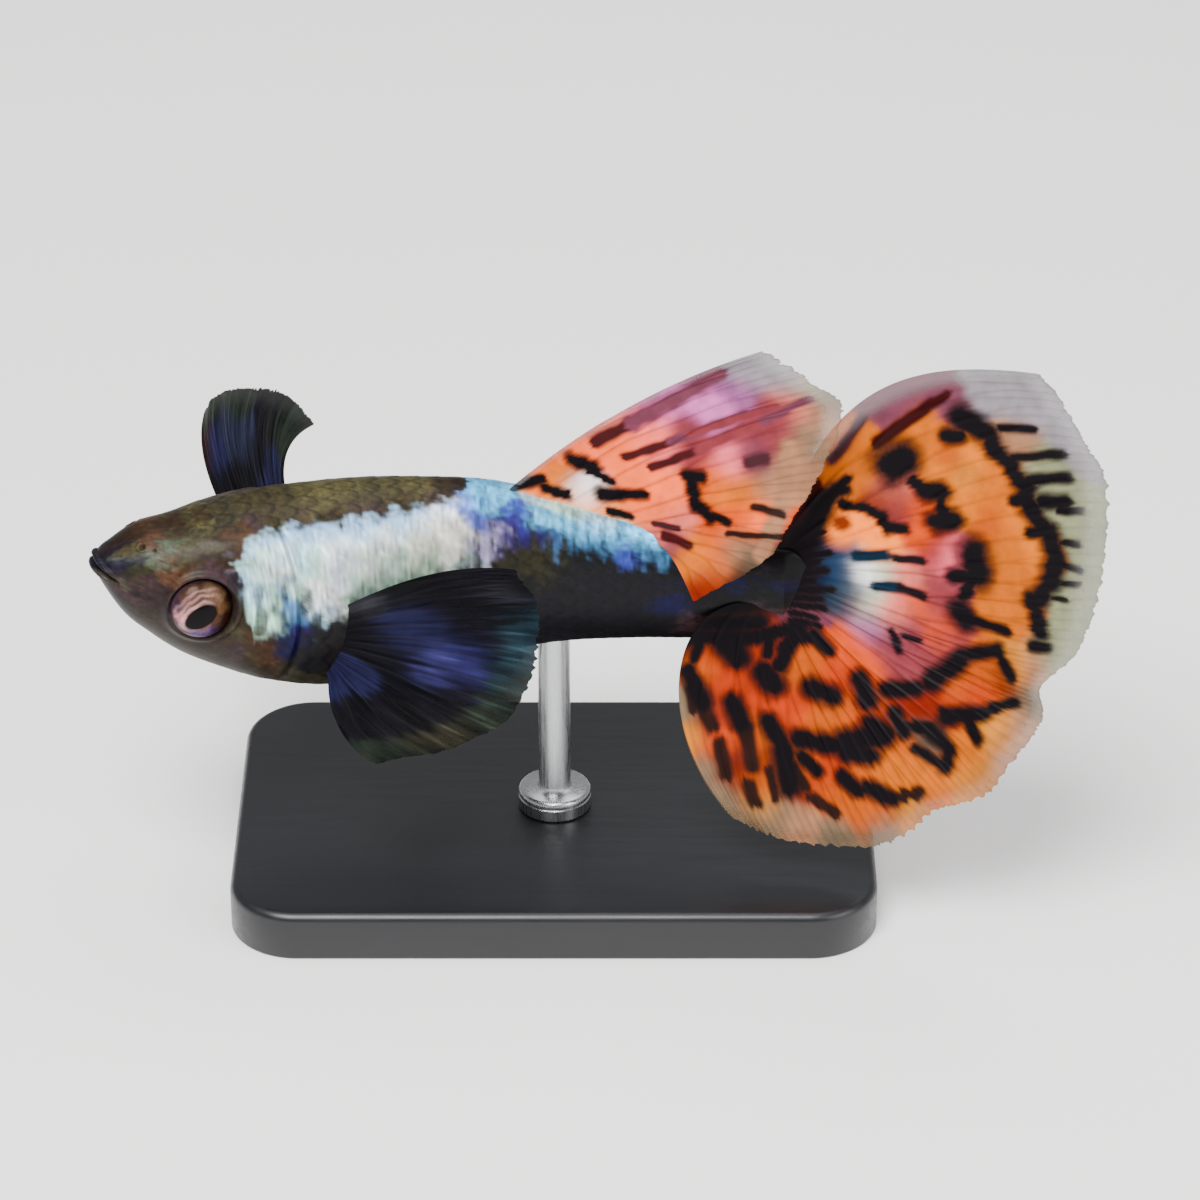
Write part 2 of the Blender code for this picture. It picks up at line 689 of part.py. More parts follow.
def make_base():
    """Flat base plate with round corners and an eased upper edge."""
    corners = []
    for turn in range(4):
        cx = (BASE_LENGTH / 2 - BASE_CORNER) * (1, -1, -1, 1)[turn]
        cy = (BASE_WIDTH / 2 - BASE_CORNER) * (1, 1, -1, -1)[turn]
        for step in range(9):
            a = math.radians(90.0 * turn + 90.0 * step / 8)
            corners.append((cx, cy, math.cos(a), math.sin(a)))
    rings = []
    eased = [(BASE_EDGE * (1 - math.cos(a)), BASE_HEIGHT - BASE_EDGE * (1 - math.sin(a)))
             for a in np.radians((0.0, 30.0, 60.0, 90.0))]
    for inset, z in [(0.0, 0.0)] + eased:
        reach = BASE_CORNER - inset
        rings.append([np.array((cx + reach * c, cy + reach * s, z)) for cx, cy, c, s in corners])
    return loft("stand_base", rings, np.zeros(3), np.array((0.0, 0.0, BASE_HEIGHT)))


def make_rod(cutter):
    """Upright rod with a collar at its foot, ending just under the belly."""
    foot = BASE_HEIGHT + GAP
    angles = np.linspace(0.0, 2 * math.pi, 24, endpoint=False)
    outline = [(COLLAR_RADIUS, foot), (COLLAR_RADIUS, foot + COLLAR_HEIGHT * 0.7),
               (COLLAR_RADIUS - 0.25, foot + COLLAR_HEIGHT), (ROD_RADIUS, foot + COLLAR_HEIGHT),
               (ROD_RADIUS, AXIS_HEIGHT - 2.0)]
    rings = [[np.array((r * math.cos(a), r * math.sin(a), z)) for a in angles] for r, z in outline]
    end = np.array((0.0, 0.0, AXIS_HEIGHT - 2.0))
    rod = loft("stand_rod", rings, np.array((0.0, 0.0, foot)), end)
    apply_boolean(rod, [cutter], "DIFFERENCE")
    return rod


def main():
    for old in list(bpy.data.objects):
        bpy.data.objects.remove(old)

    make_head()
    finish(make_torso(), "torso", "8F9488", 0.32)
    finish(make_peduncle(), "caudal_peduncle", "2A2B2E", 0.34)
    finish(eye_ball("eye_left", -1, 0.0, 12, 24), "eye_left", "B9A7AE", 0.08)
    finish(eye_ball("eye_right", 1, 0.0, 12, 24), "eye_right", "B9A7AE", 0.08)

    tail = make_fin("caudal_fin", caudal_surface, CAUDAL_RAYS, 12)
    clear_of_body(tail, [make_peduncle(GAP)])
    finish(tail, "caudal_fin", "D0672F", 0.42, sharp=60.0)

    dorsal = make_fin("dorsal_fin", dorsal_surface, DORSAL_RAYS, 9)
    clear_of_body(dorsal, [make_torso(GAP), make_peduncle(GAP)])
    finish(dorsal, "dorsal_fin", "D08C79", 0.42, sharp=60.0)

    for name, side, keys, chord in (
            ("pectoral_fin_left", -1, PECTORAL_LEFT_KEYS, PECTORAL_LEFT_CHORD),
            ("pectoral_fin_right", 1, PECTORAL_RIGHT_KEYS, PECTORAL_RIGHT_CHORD)):
        fin = make_fin(name, lambda p, a: pectoral_surface(keys, side, chord, p, a), PECTORAL_RAYS, 8,
                       root_half=0.45)
        clear_of_body(fin, [make_torso(GAP)])
        finish(fin, name, "34354A", 0.42, sharp=60.0)

    for name, side in (("pelvic_fin_left", -1), ("pelvic_fin_right", 1)):
        fin = make_fin(name, lambda p, a: pelvic_surface(side, p, a), PELVIC_RAYS, 5, ray_half=0.36)
        clear_of_body(fin, [make_torso(GAP)])
        finish(fin, name, "6A6462", 0.42, sharp=60.0)

    anal = make_fin("anal_fin", anal_surface, ANAL_RAYS, 8, ray_half=0.34, root_half=0.32)
    clear_of_body(anal, [make_torso(GAP)])
    finish(anal, "anal_fin", "6A6462", 0.42, sharp=60.0)

    finish(make_base(), "stand_base", "1E1F21", 0.35)
    finish(make_rod(make_torso(GAP)), "stand_rod", "B8BABD", 0.28, metallic=1.0)


main()
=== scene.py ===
import math

import bpy
import numpy as np
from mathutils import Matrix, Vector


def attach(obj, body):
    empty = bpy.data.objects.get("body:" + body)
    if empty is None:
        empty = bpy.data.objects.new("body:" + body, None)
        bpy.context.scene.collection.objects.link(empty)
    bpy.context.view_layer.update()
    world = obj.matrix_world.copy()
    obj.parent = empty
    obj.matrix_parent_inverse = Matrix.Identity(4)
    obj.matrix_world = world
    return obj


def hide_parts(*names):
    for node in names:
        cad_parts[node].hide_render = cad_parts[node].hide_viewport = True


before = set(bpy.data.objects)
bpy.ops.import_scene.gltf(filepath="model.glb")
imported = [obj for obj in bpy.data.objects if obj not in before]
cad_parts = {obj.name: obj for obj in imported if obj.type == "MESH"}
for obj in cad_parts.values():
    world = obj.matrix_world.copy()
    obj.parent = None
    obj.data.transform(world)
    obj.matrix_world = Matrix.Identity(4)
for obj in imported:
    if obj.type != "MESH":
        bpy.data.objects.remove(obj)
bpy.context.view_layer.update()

# Body of the guppy, from the snout to the root of the tail, bent in a swimming stroke.
# A museum cast of a fish this small is resin from a two-part mould, taken off the mould in
# one piece, so head, trunk and tail stalk are one skin here. Lengths are in millimetres.
MM = 0.001
BODY_LENGTH = 30.0
AXIS_HEIGHT = 14.2
HEAD_HEADING = 18.0
TAIL_HEADING = -18.0
NECK_SHARE = 0.25
ROD_SHARE = 0.66
SKIN_COLUMNS = 280
# Share of the length, top, bottom, half width, squareness of the upper and of the lower half
STATIONS = np.array([
    (0.000, 2.80, 2.15, 0.50, 2.0, 2.0),
    (0.008, 3.05, 1.60, 0.92, 2.1, 2.0),
    (0.030, 3.45, 0.35, 1.45, 2.2, 2.0),
    (0.070, 3.92, -1.00, 2.05, 2.4, 2.0),
    (0.110, 3.98, -2.05, 2.50, 2.5, 2.0),
    (0.160, 4.20, -2.95, 2.85, 2.5, 2.0),
    (0.220, 4.48, -3.90, 3.05, 2.4, 2.0),
    (0.300, 4.55, -4.68, 3.10, 2.2, 2.0),
    (0.390, 4.55, -4.88, 3.00, 2.1, 2.0),
    (0.480, 4.42, -4.55, 2.70, 2.0, 2.0),
    (0.570, 4.18, -4.00, 2.35, 2.0, 2.0),
    (0.660, 3.52, -3.48, 1.98, 2.0, 2.0),
    (0.780, 2.65, -3.15, 1.50, 2.0, 2.0),
    (0.890, 2.15, -2.82, 1.08, 2.0, 2.0),
    (1.000, 1.92, -1.72, 0.72, 2.0, 2.0),
])


def smooth_rows(rows, at):
    """Smooth curve through the rows; the first column is the place of each row."""
    keys = rows[:, 0]
    values = rows[:, 1:]
    slope = np.gradient(values, keys, axis=0)
    at = np.asarray(at, float)
    low = np.clip(np.searchsorted(keys, at, side="right") - 1, 0, len(keys) - 2)
    step = (keys[low + 1] - keys[low])[..., None]
    t = ((at - keys[low])[..., None]) / step
    start = (2 * t ** 3 - 3 * t ** 2 + 1) * values[low] + (t ** 3 - 2 * t ** 2 + t) * step * slope[low]
    end = (3 * t ** 2 - 2 * t ** 3) * values[low + 1] + (t ** 3 - t ** 2) * step * slope[low + 1]
    return start + end


def fade(low, high, value):
    """Smooth step from 0 at low to 1 at high; high may be the smaller of the two."""
    t = np.clip((np.asarray(value, float) - low) / (high - low), 0.0, 1.0)
    return t * t * (3.0 - 2.0 * t)


def hump(middle, width, value):
    """Bell of height 1 round a middle."""
    return np.exp(-((np.asarray(value, float) - middle) / width) ** 2)


def heading(share):
    """Heading of the body axis in radians, positive where it runs away from the left side."""
    turned = HEAD_HEADING + (TAIL_HEADING - HEAD_HEADING) * (share - NECK_SHARE) / (1.0 - NECK_SHARE)
    return np.radians(np.where(share < NECK_SHARE, HEAD_HEADING, turned))


SHARES = np.linspace(-0.05, 1.10, 461)
STEPS = np.diff(SHARES) * BODY_LENGTH
MIDDLES = (SHARES[1:] + SHARES[:-1]) / 2
PATH_X = np.concatenate([[0.0], np.cumsum(np.cos(heading(MIDDLES)) * STEPS)])
PATH_Y = np.concatenate([[0.0], np.cumsum(np.sin(heading(MIDDLES)) * STEPS)])
PATH_X -= np.interp(ROD_SHARE, SHARES, PATH_X)
PATH_Y -= np.interp(ROD_SHARE, SHARES, PATH_Y)


def axis_point(share):
    """Point of the body axis at a share of the length."""
    share = np.asarray(share, float)
    x = np.interp(share, SHARES, PATH_X)
    y = np.interp(share, SHARES, PATH_Y)
    return np.stack([x, y, np.full(share.shape, AXIS_HEIGHT)], -1)


def side_way(share):
    """Unit vector square to the axis, towards the fish's right side."""
    turn = heading(np.asarray(share, float))
    return np.stack([-np.sin(turn), np.cos(turn), np.zeros_like(turn)], -1)


def local_point(share, out, up):
    """Point given by its place along the body, its distance to the right and its height."""
    share, out, up = np.broadcast_arrays(*[np.asarray(v, float) for v in (share, out, up)])
    point = axis_point(share) + side_way(share) * out[..., None]
    point[..., 2] += up
    return point


def body_skin(share, angle, narrow=1.0):
    """Point on the skin; angle 0 is the right flank and 90 degrees is the back."""
    share, angle = np.broadcast_arrays(np.asarray(share, float), np.asarray(angle, float))
    top, bottom, width, upper, lower = np.moveaxis(smooth_rows(STATIONS, np.clip(share, 0.0, 1.0)), -1, 0)
    cosine = np.cos(angle)
    sine = np.sin(angle)
    power = 2.0 / np.where(sine >= 0.0, upper, lower)
    out = narrow * width * np.sign(cosine) * np.abs(cosine) ** power
    up = (top + bottom) / 2 + (top - bottom) / 2 * np.sign(sine) * np.abs(sine) ** power
    return local_point(share, out, up)


def mottle(points, size, seed, waves=20):
    """Smooth random field of spread 1 whose patches are about size across."""
    draw = np.random.default_rng(seed)
    ways = draw.normal(size=(waves, points.shape[-1]))
    ways *= 2 * math.pi / size * draw.uniform(0.5, 1.5, (waves, 1)) / np.linalg.norm(ways, axis=1)[:, None]
    shifts = draw.uniform(0.0, 2 * math.pi, waves)
    field = sum(np.cos(points @ way + shift) for way, shift in zip(ways, shifts))
    return field / math.sqrt(waves / 2)


angles = np.linspace(0.0, 2 * math.pi, SKIN_COLUMNS, endpoint=False)
shares = np.concatenate([np.linspace(0.0, 0.03, 28, endpoint=False),
                         np.linspace(0.03, 0.26, 112, endpoint=False),
                         np.linspace(0.26, 1.0, 184)])
rings = list(body_skin(shares[:, None], angles[None, :]))
ahead = axis_point(0.0) - axis_point(0.01)
ahead /= np.linalg.norm(ahead)
aft = axis_point(1.0) - axis_point(0.99)
aft /= np.linalg.norm(aft)
snout = rings[0].mean(axis=0)
stalk_end = rings[-1].mean(axis=0)
SNOUT_BULGE = 0.14
# The tail stalk ends in a flat wedge of skin over the feet of the tail rays
SHEATH = 0.85
SHEATH_RINGS = 14
end_ring = rings[-1] - stalk_end
end_wide = (end_ring @ side_way(1.0))[:, None] * side_way(1.0)
end_tall = end_ring - end_wide
front = []
back = []
for turn in np.radians(np.linspace(6.0, 84.0, 14)):
    front.append(snout + (rings[0] - snout) * math.sin(turn) + ahead * SNOUT_BULGE * math.cos(turn))
for reach in np.linspace(0.07, 1.0, SHEATH_RINGS):
    back.append(stalk_end + end_wide * (1.0 - reach) ** 1.2 + end_tall * (1.0 - 0.4 * reach ** 2)
                + aft * SHEATH * reach)
body = np.array(front + rings + back)
body_share = np.concatenate([np.zeros(len(front)), shares, np.full(len(back), 1.0)])
body_share = np.repeat(body_share[:, None], SKIN_COLUMNS, axis=1)
lean = (angles - math.pi / 2 + math.pi) % (2 * math.pi) - math.pi
# Place round the body: 0 on the middle of the back, 1 on the middle of the belly, alike on both sides
around = np.repeat(np.abs(lean)[None, :] / math.pi, len(body), axis=0)


def surface_normals(grid):
    """Unit normals of a grid that closes on itself along its second axis."""
    down = np.gradient(grid, axis=0)
    across = np.roll(grid, -1, axis=1) - np.roll(grid, 1, axis=1)
    normal = np.cross(across, down)
    return normal / np.maximum(np.linalg.norm(normal, axis=2), 1e-9)[..., None]


normals = surface_normals(body)
if ((body - body.mean(axis=1, keepdims=True)) * normals).sum() < 0.0:
    normals = -normals

# Gill covers, gill slit and cheek plate: thin bones under the skin that show as low steps.
# They are part of the same cast, so they are raised and sunk in the skin itself.
CHEEK_SHARE = 0.178
GILL_SHARE = 0.235
GILL_REACH = 0.030
GILL_RISE = 0.10
flank = np.abs(np.cos(angles))[None, :]
gill_edge = GILL_SHARE + GILL_REACH * flank ** 1.5 - 0.012 * np.clip(-np.sin(angles), 0.0, 1.0)[None, :]
cheek_edge = CHEEK_SHARE - 0.02 * (around - 0.5) ** 2 / 0.06
cover = fade(0.25, 0.75, flank)
lift = GILL_RISE * cover * fade(cheek_edge - 0.012, cheek_edge + 0.022, body_share)
lift *= fade(gill_edge + 0.004, gill_edge - 0.003, body_share)
lift -= 0.07 * cover * hump(gill_edge + 0.008, 0.006, body_share)
gill_slit = cover * hump(gill_edge + 0.006, 0.005, body_share)

# Scales: thin round plates that overlap like tiles with their free edges to the rear.
# A guppy of this size has about 26 along its side, so they are worked out in rows round the body.
SCALE_ROWS = 13
SCALE_RISE = 0.050
SCALE_LONG = 1.22
SCALE_WIDE = 0.64
hoop = np.linalg.norm(body - np.roll(body, 1, axis=1), axis=2).sum(axis=1) / 2
pitch = np.maximum(hoop, 3.0) / SCALE_ROWS
run = np.cumsum(np.gradient(body_share[:, 0]) * BODY_LENGTH / pitch)[:, None]
row_place = around * SCALE_ROWS
scale_height = np.zeros_like(around)
scale_edge = np.zeros_like(around)
free = np.ones_like(around, bool)
for step in (-1, 0, 1, 2):
    number = np.floor(run) + step
    shift = 0.5 * (number % 2)
    beside = (row_place - np.round(row_place - shift) - shift) / SCALE_WIDE
    past = (run - number) / SCALE_LONG
    reach = np.sqrt(past ** 2 + beside ** 2)
    hit = free & (reach < 1.0)
    scale_height = np.where(hit, np.clip(0.5 + 0.5 * past, 0.0, 1.0), scale_height)
    scale_edge = np.where(hit, fade(0.70, 0.97, reach), scale_edge)
    free &= ~hit
scaled = fade(0.085, 0.17, body_share + 0.05 * (0.25 - around)) * fade(1.0, 0.96, body_share)
scaled *= 1.0 - cover * 0.8 * fade(0.26, 0.24, body_share)
lift += SCALE_RISE * scaled * (scale_height - 0.5) * (pitch / pitch.max())[:, None]

# Eye sockets: each eye sits in a ring of thin bone, and the skin rolls over it as a low rim.
# A fish has no lids, so the skin ends at the rim and dives under the eyeball.
EYE_SHARE = 0.131
EYE_UP = 1.03
EYE_OUT = 2.40
EYE_RADIUS = 1.32
EYE_DEPTH = 0.75
RIM_RISE = 0.17
RIM_WIDTH = 0.13


def eye_frame(side):
    """Centre of an eye and its axes forward, up and outward; side is 1 on the right, -1 on the left."""
    centre = local_point(EYE_SHARE, side * EYE_OUT, EYE_UP)
    outward = side_way(EYE_SHARE) * side * math.cos(math.radians(8.0))
    outward[2] += math.sin(math.radians(8.0))
    upward = np.array((0.0, 0.0, 1.0)) - outward * outward[2]
    upward /= np.linalg.norm(upward)
    forward = np.cross(outward, upward) * -side
    return centre, forward, upward, outward


# Mouth: two lips of soft skin round the tip of the jaws. The lower jaw is the longer one,
# so the mouth opens upwards. Both lips are rolls raised in the skin with a slit between them.
MOUTH_HALF_WIDTH = 1.18
MOUTH_DEPTH = 0.70
# Height above the axis, reach ahead of the snout, radius, and fall to the corner of the mouth
UPPER_LIP = (2.84, -0.03, 0.17, 0.62)
LOWER_LIP = (2.50, 0.07, 0.18, 0.44)


def lip_path(up, reach, radius, fall):
    """Path of a lip round the snout from one corner of the mouth to the other, and its radii."""
    turn = np.radians(np.linspace(-88.0, 88.0, 60))
    along = MOUTH_DEPTH * (1.0 - np.cos(turn)) - reach
    heights = up - fall * (1.0 - np.cos(turn))
    path = local_point(along / BODY_LENGTH, MOUTH_HALF_WIDTH * np.sin(turn), heights)
    return path, radius * (0.40 + 0.60 * np.cos(turn))


def near_path(points, path):
    """Nearest point of a path to each point: its number, and the way from it."""
    away = points[:, None] - path[None]
    nearest = np.argmin((away ** 2).sum(-1), axis=1)
    return nearest, away[np.arange(len(points)), nearest]


tip = body_share < 0.06
tip_points = body[tip]
tip_normals = normals[tip]
tip_lift = lift[tip]
lips = [lip_path(*lip) for lip in (UPPER_LIP, LOWER_LIP)]
for path, radii in lips:
    nearest, away = near_path(tip_points, path)
    height = (away * tip_normals).sum(-1)
    beside = np.sqrt(np.clip((away ** 2).sum(-1) - height ** 2, 0.0, None)) / radii[nearest]
    roll = radii[nearest] * np.sqrt(np.clip(1.0 - beside ** 2, 0.0, None)) - height
    tip_lift = np.maximum(tip_lift, np.clip(roll, 0.0, None) * fade(1.0, 0.8, beside))
slit = (lips[0][0] + lips[1][0]) / 2
nearest, away = near_path(tip_points, slit)
slit_far = np.linalg.norm(away - (away * tip_normals).sum(-1)[:, None] * tip_normals, axis=1)
tip_lift -= 0.16 * hump(0.0, 0.07, slit_far)
lift[tip] = tip_lift
mouth_slit = np.zeros_like(lift)
mouth_slit[tip] = hump(0.0, 0.075, slit_far)

# Nostrils: two small pits on each side of the snout with a low collar, sunk with a round tool
# in the master. Each is a share of the length, a place round the body and a radius.
PITS = [(0.060, 0.165, 0.15), (0.076, 0.205, 0.09)]
pits = np.zeros_like(lift)
for place, turn, radius in PITS:
    for side in (-1, 1):
        centre = body_skin(place, math.pi / 2 + side * turn * math.pi)
        far = np.linalg.norm(body - centre, axis=2) / radius
        lift += radius * (0.35 * hump(1.25, 0.35, far) - 1.1 * hump(0.0, 0.75, far))
        pits = np.maximum(pits, hump(0.0, 0.8, far))

skin_grid = body + normals * lift[..., None]
rim = np.zeros_like(lift)
for side in (-1, 1):
    centre, forward, upward, outward = eye_frame(side)
    away = skin_grid - centre
    height = away @ outward
    far = np.linalg.norm(away - height[..., None] * outward, axis=2)
    near = (height > -1.2) & (far < 2.4)
    inner = -0.10 - 0.35 * np.clip(EYE_RADIUS - far, 0.0, None)
    raised = height + RIM_RISE * hump(EYE_RADIUS + 0.19, RIM_WIDTH, far)
    open_at = fade(EYE_RADIUS - 0.04, EYE_RADIUS + 0.10, far)
    wanted = inner * (1.0 - open_at) + raised * open_at
    skin_grid += np.where(near, wanted - height, 0.0)[..., None] * outward
    rim = np.where(near, np.maximum(rim, hump(EYE_RADIUS + 0.05, 0.16, far)), rim)


# Paint of the body. The painter's notes say where each pigment goes: a share of the length, a
# place round the body, how far it reaches in millimetres, and the pigment.
HALF_GIRTH = 11.0


def linear(hex_code):
    """Linear colour of an sRGB hex code."""
    parts = np.array([int(hex_code[k:k + 2], 16) / 255.0 for k in (0, 2, 4)])
    return np.where(parts <= 0.04045, parts / 12.92, ((parts + 0.055) / 1.055) ** 2.4)


def paint(points, spots, pigments):
    """Colour at each point from dabs of paint: each a place, a reach in millimetres and a pigment."""
    score = np.stack([-(((points - np.array(place)) / reach) ** 2).sum(-1) for place, reach, name in spots])
    weight = np.exp(score - score.max(axis=0))
    weight /= weight.sum(axis=0)
    colours = np.array([linear(pigments[name]) for place, reach, name in spots])
    return np.tensordot(np.moveaxis(weight, 0, -1), colours, axes=1)


def along_body(notes):
    """Painting notes of the body as dabs, with their places in millimetres."""
    return [((share * BODY_LENGTH, turn * HALF_GIRTH), reach, name) for share, turn, reach, name in notes]


BODY_PIGMENTS = {
    "slate": "080418", "lip": "08070B", "umber": "1C1004", "olive": "2E2A17", "gold": "413C21",
    "rust": "3F2718", "taupe": "272118", "rose_grey": "302921", "jaw": "221A12", "plum": "1D141B",
    "brick": "2D1804", "belly": "272418", "moss": "1F1D0F", "dusk": "0C0C0F", "coal": "09070D",
    "ink": "060508", "violet": "04042C", "ash": "130F0F", "wine": "2B1B1F", "night": "050409",
    "grey_green": "383F33", "lilac": "3C363D",
}
BODY_NOTES = [
    (0.930, 0.420, 0.45, "violet"), (0.965, 0.300, 0.35, "plum"), (0.955, 0.560, 0.40, "plum"),
    (0.985, 0.440, 0.35, "violet"), (0.900, 0.520, 0.40, "night"),
    (0.020, 0.70, 0.75, "lip"), (0.100, 0.80, 1.20, "jaw"), (0.160, 0.78, 0.90, "jaw"),
    (0.200, 0.88, 1.10, "belly"), (0.040, 0.03, 0.75, "umber"), (0.090, 0.02, 0.80, "umber"),
    (0.190, 0.03, 0.90, "olive"), (0.250, 0.03, 1.00, "umber"), (0.020, 0.065, 0.68, "slate"),
    (0.020, 0.273, 0.60, "slate"), (0.033, 0.000, 0.75, "umber"), (0.062, 0.000, 0.75, "umber"),
    (0.065, 0.100, 0.48, "rust"), (0.084, 0.050, 0.48, "rust"), (0.042, 0.135, 0.52, "olive"),
    (0.076, 0.288, 0.38, "grey_green"), (0.044, 0.351, 0.45, "moss"), (0.023, 0.459, 0.38, "rose_grey"),
    (0.020, 0.379, 0.38, "plum"), (0.061, 0.446, 0.45, "wine"), (0.045, 0.477, 0.33, "coal"),
    (0.034, 0.587, 0.45, "wine"), (0.068, 0.487, 0.52, "umber"), (0.049, 0.670, 0.75, "jaw"),
    (0.089, 0.750, 0.75, "jaw"), (0.132, 0.750, 0.75, "umber"), (0.170, 0.665, 0.60, "wine"),
    (0.111, 0.000, 0.75, "umber"), (0.149, 0.000, 0.75, "umber"), (0.191, 0.000, 0.60, "moss"),
    (0.222, 0.020, 0.75, "olive"), (0.256, 0.065, 0.75, "olive"), (0.300, 0.078, 0.75, "gold"),
    (0.183, 0.068, 0.42, "coal"), (0.192, 0.153, 0.45, "brick"), (0.216, 0.130, 0.45, "wine"),
    (0.122, 0.118, 0.60, "olive"), (0.148, 0.065, 0.52, "gold"), (0.152, 0.183, 0.60, "olive"),
    (0.171, 0.228, 0.52, "umber"), (0.198, 0.213, 0.45, "rust"), (0.106, 0.243, 0.45, "olive"),
    (0.092, 0.319, 0.45, "rust"), (0.117, 0.311, 0.38, "brick"), (0.149, 0.304, 0.38, "wine"),
    (0.135, 0.258, 0.45, "umber"), (0.174, 0.326, 0.27, "lilac"), (0.183, 0.374, 0.38, "plum"),
    (0.181, 0.484, 0.52, "umber"), (0.169, 0.544, 0.52, "olive"), (0.153, 0.615, 0.52, "umber"),
    (0.211, 0.635, 0.52, "brick"), (0.229, 0.685, 0.45, "rust"), (0.254, 0.594, 0.52, "violet"),
    (0.284, 0.680, 0.60, "coal"), (0.156, 0.750, 0.75, "jaw"), (0.216, 0.750, 0.75, "umber"),
    (0.258, 0.750, 0.75, "belly"), (0.076, 0.514, 0.45, "plum"), (0.093, 0.605, 0.45, "jaw"),
    (0.107, 0.682, 0.45, "umber"), (0.028, 0.228, 0.30, "grey_green"), (0.197, 0.665, 0.38, "olive"),
    (0.100, 0.188, 0.30, "grey_green"), (0.127, 0.329, 0.22, "rose_grey"), (0.280, 0.08, 1.00, "olive"),
    (0.340, 0.04, 1.00, "gold"), (0.370, 0.09, 0.90, "olive"), (0.430, 0.04, 1.00, "olive"),
    (0.460, 0.08, 0.80, "gold"), (0.510, 0.06, 0.80, "umber"), (0.290, 0.160, 0.52, "wine"),
    (0.340, 0.155, 0.52, "umber"), (0.390, 0.150, 0.52, "wine"), (0.440, 0.140, 0.52, "umber"),
    (0.490, 0.125, 0.52, "wine"), (0.530, 0.080, 0.60, "ash"), (0.310, 0.55, 0.75, "ash"),
    (0.330, 0.66, 0.80, "ash"), (0.420, 0.58, 0.90, "ash"), (0.300, 0.86, 1.20, "belly"),
    (0.400, 0.86, 1.20, "belly"), (0.490, 0.80, 1.00, "ash"), (0.540, 0.90, 1.00, "ash"),
    (0.540, 0.45, 0.75, "dusk"), (0.580, 0.38, 0.80, "moss"), (0.640, 0.37, 0.80, "moss"),
    (0.600, 0.50, 0.80, "dusk"), (0.690, 0.42, 0.80, "dusk"), (0.620, 0.66, 1.20, "coal"),
    (0.600, 0.92, 1.00, "coal"), (0.720, 0.54, 1.00, "coal"), (0.720, 0.80, 1.20, "coal"),
    (0.790, 0.47, 0.90, "coal"), (0.780, 0.36, 0.75, "dusk"), (0.810, 0.65, 0.75, "night"),
    (0.830, 0.56, 0.60, "violet"), (0.870, 0.70, 0.60, "wine"), (0.910, 0.52, 0.75, "night"),
    (0.950, 0.66, 0.75, "wine"), (0.620, 0.03, 0.75, "coal"), (0.760, 0.03, 0.80, "coal"),
    (0.860, 0.22, 0.90, "ink"), (0.940, 0.25, 0.80, "ink"), (0.985, 0.50, 0.75, "ink"),
    (0.900, 0.90, 0.90, "ink"), (0.820, 0.88, 0.80, "coal"), (0.296, 0.542, 0.68, "coal"),
    (0.303, 0.635, 0.68, "ink"), (0.340, 0.484, 0.68, "dusk"), (0.383, 0.452, 0.68, "dusk"),
    (0.278, 0.685, 0.68, "night"),
]
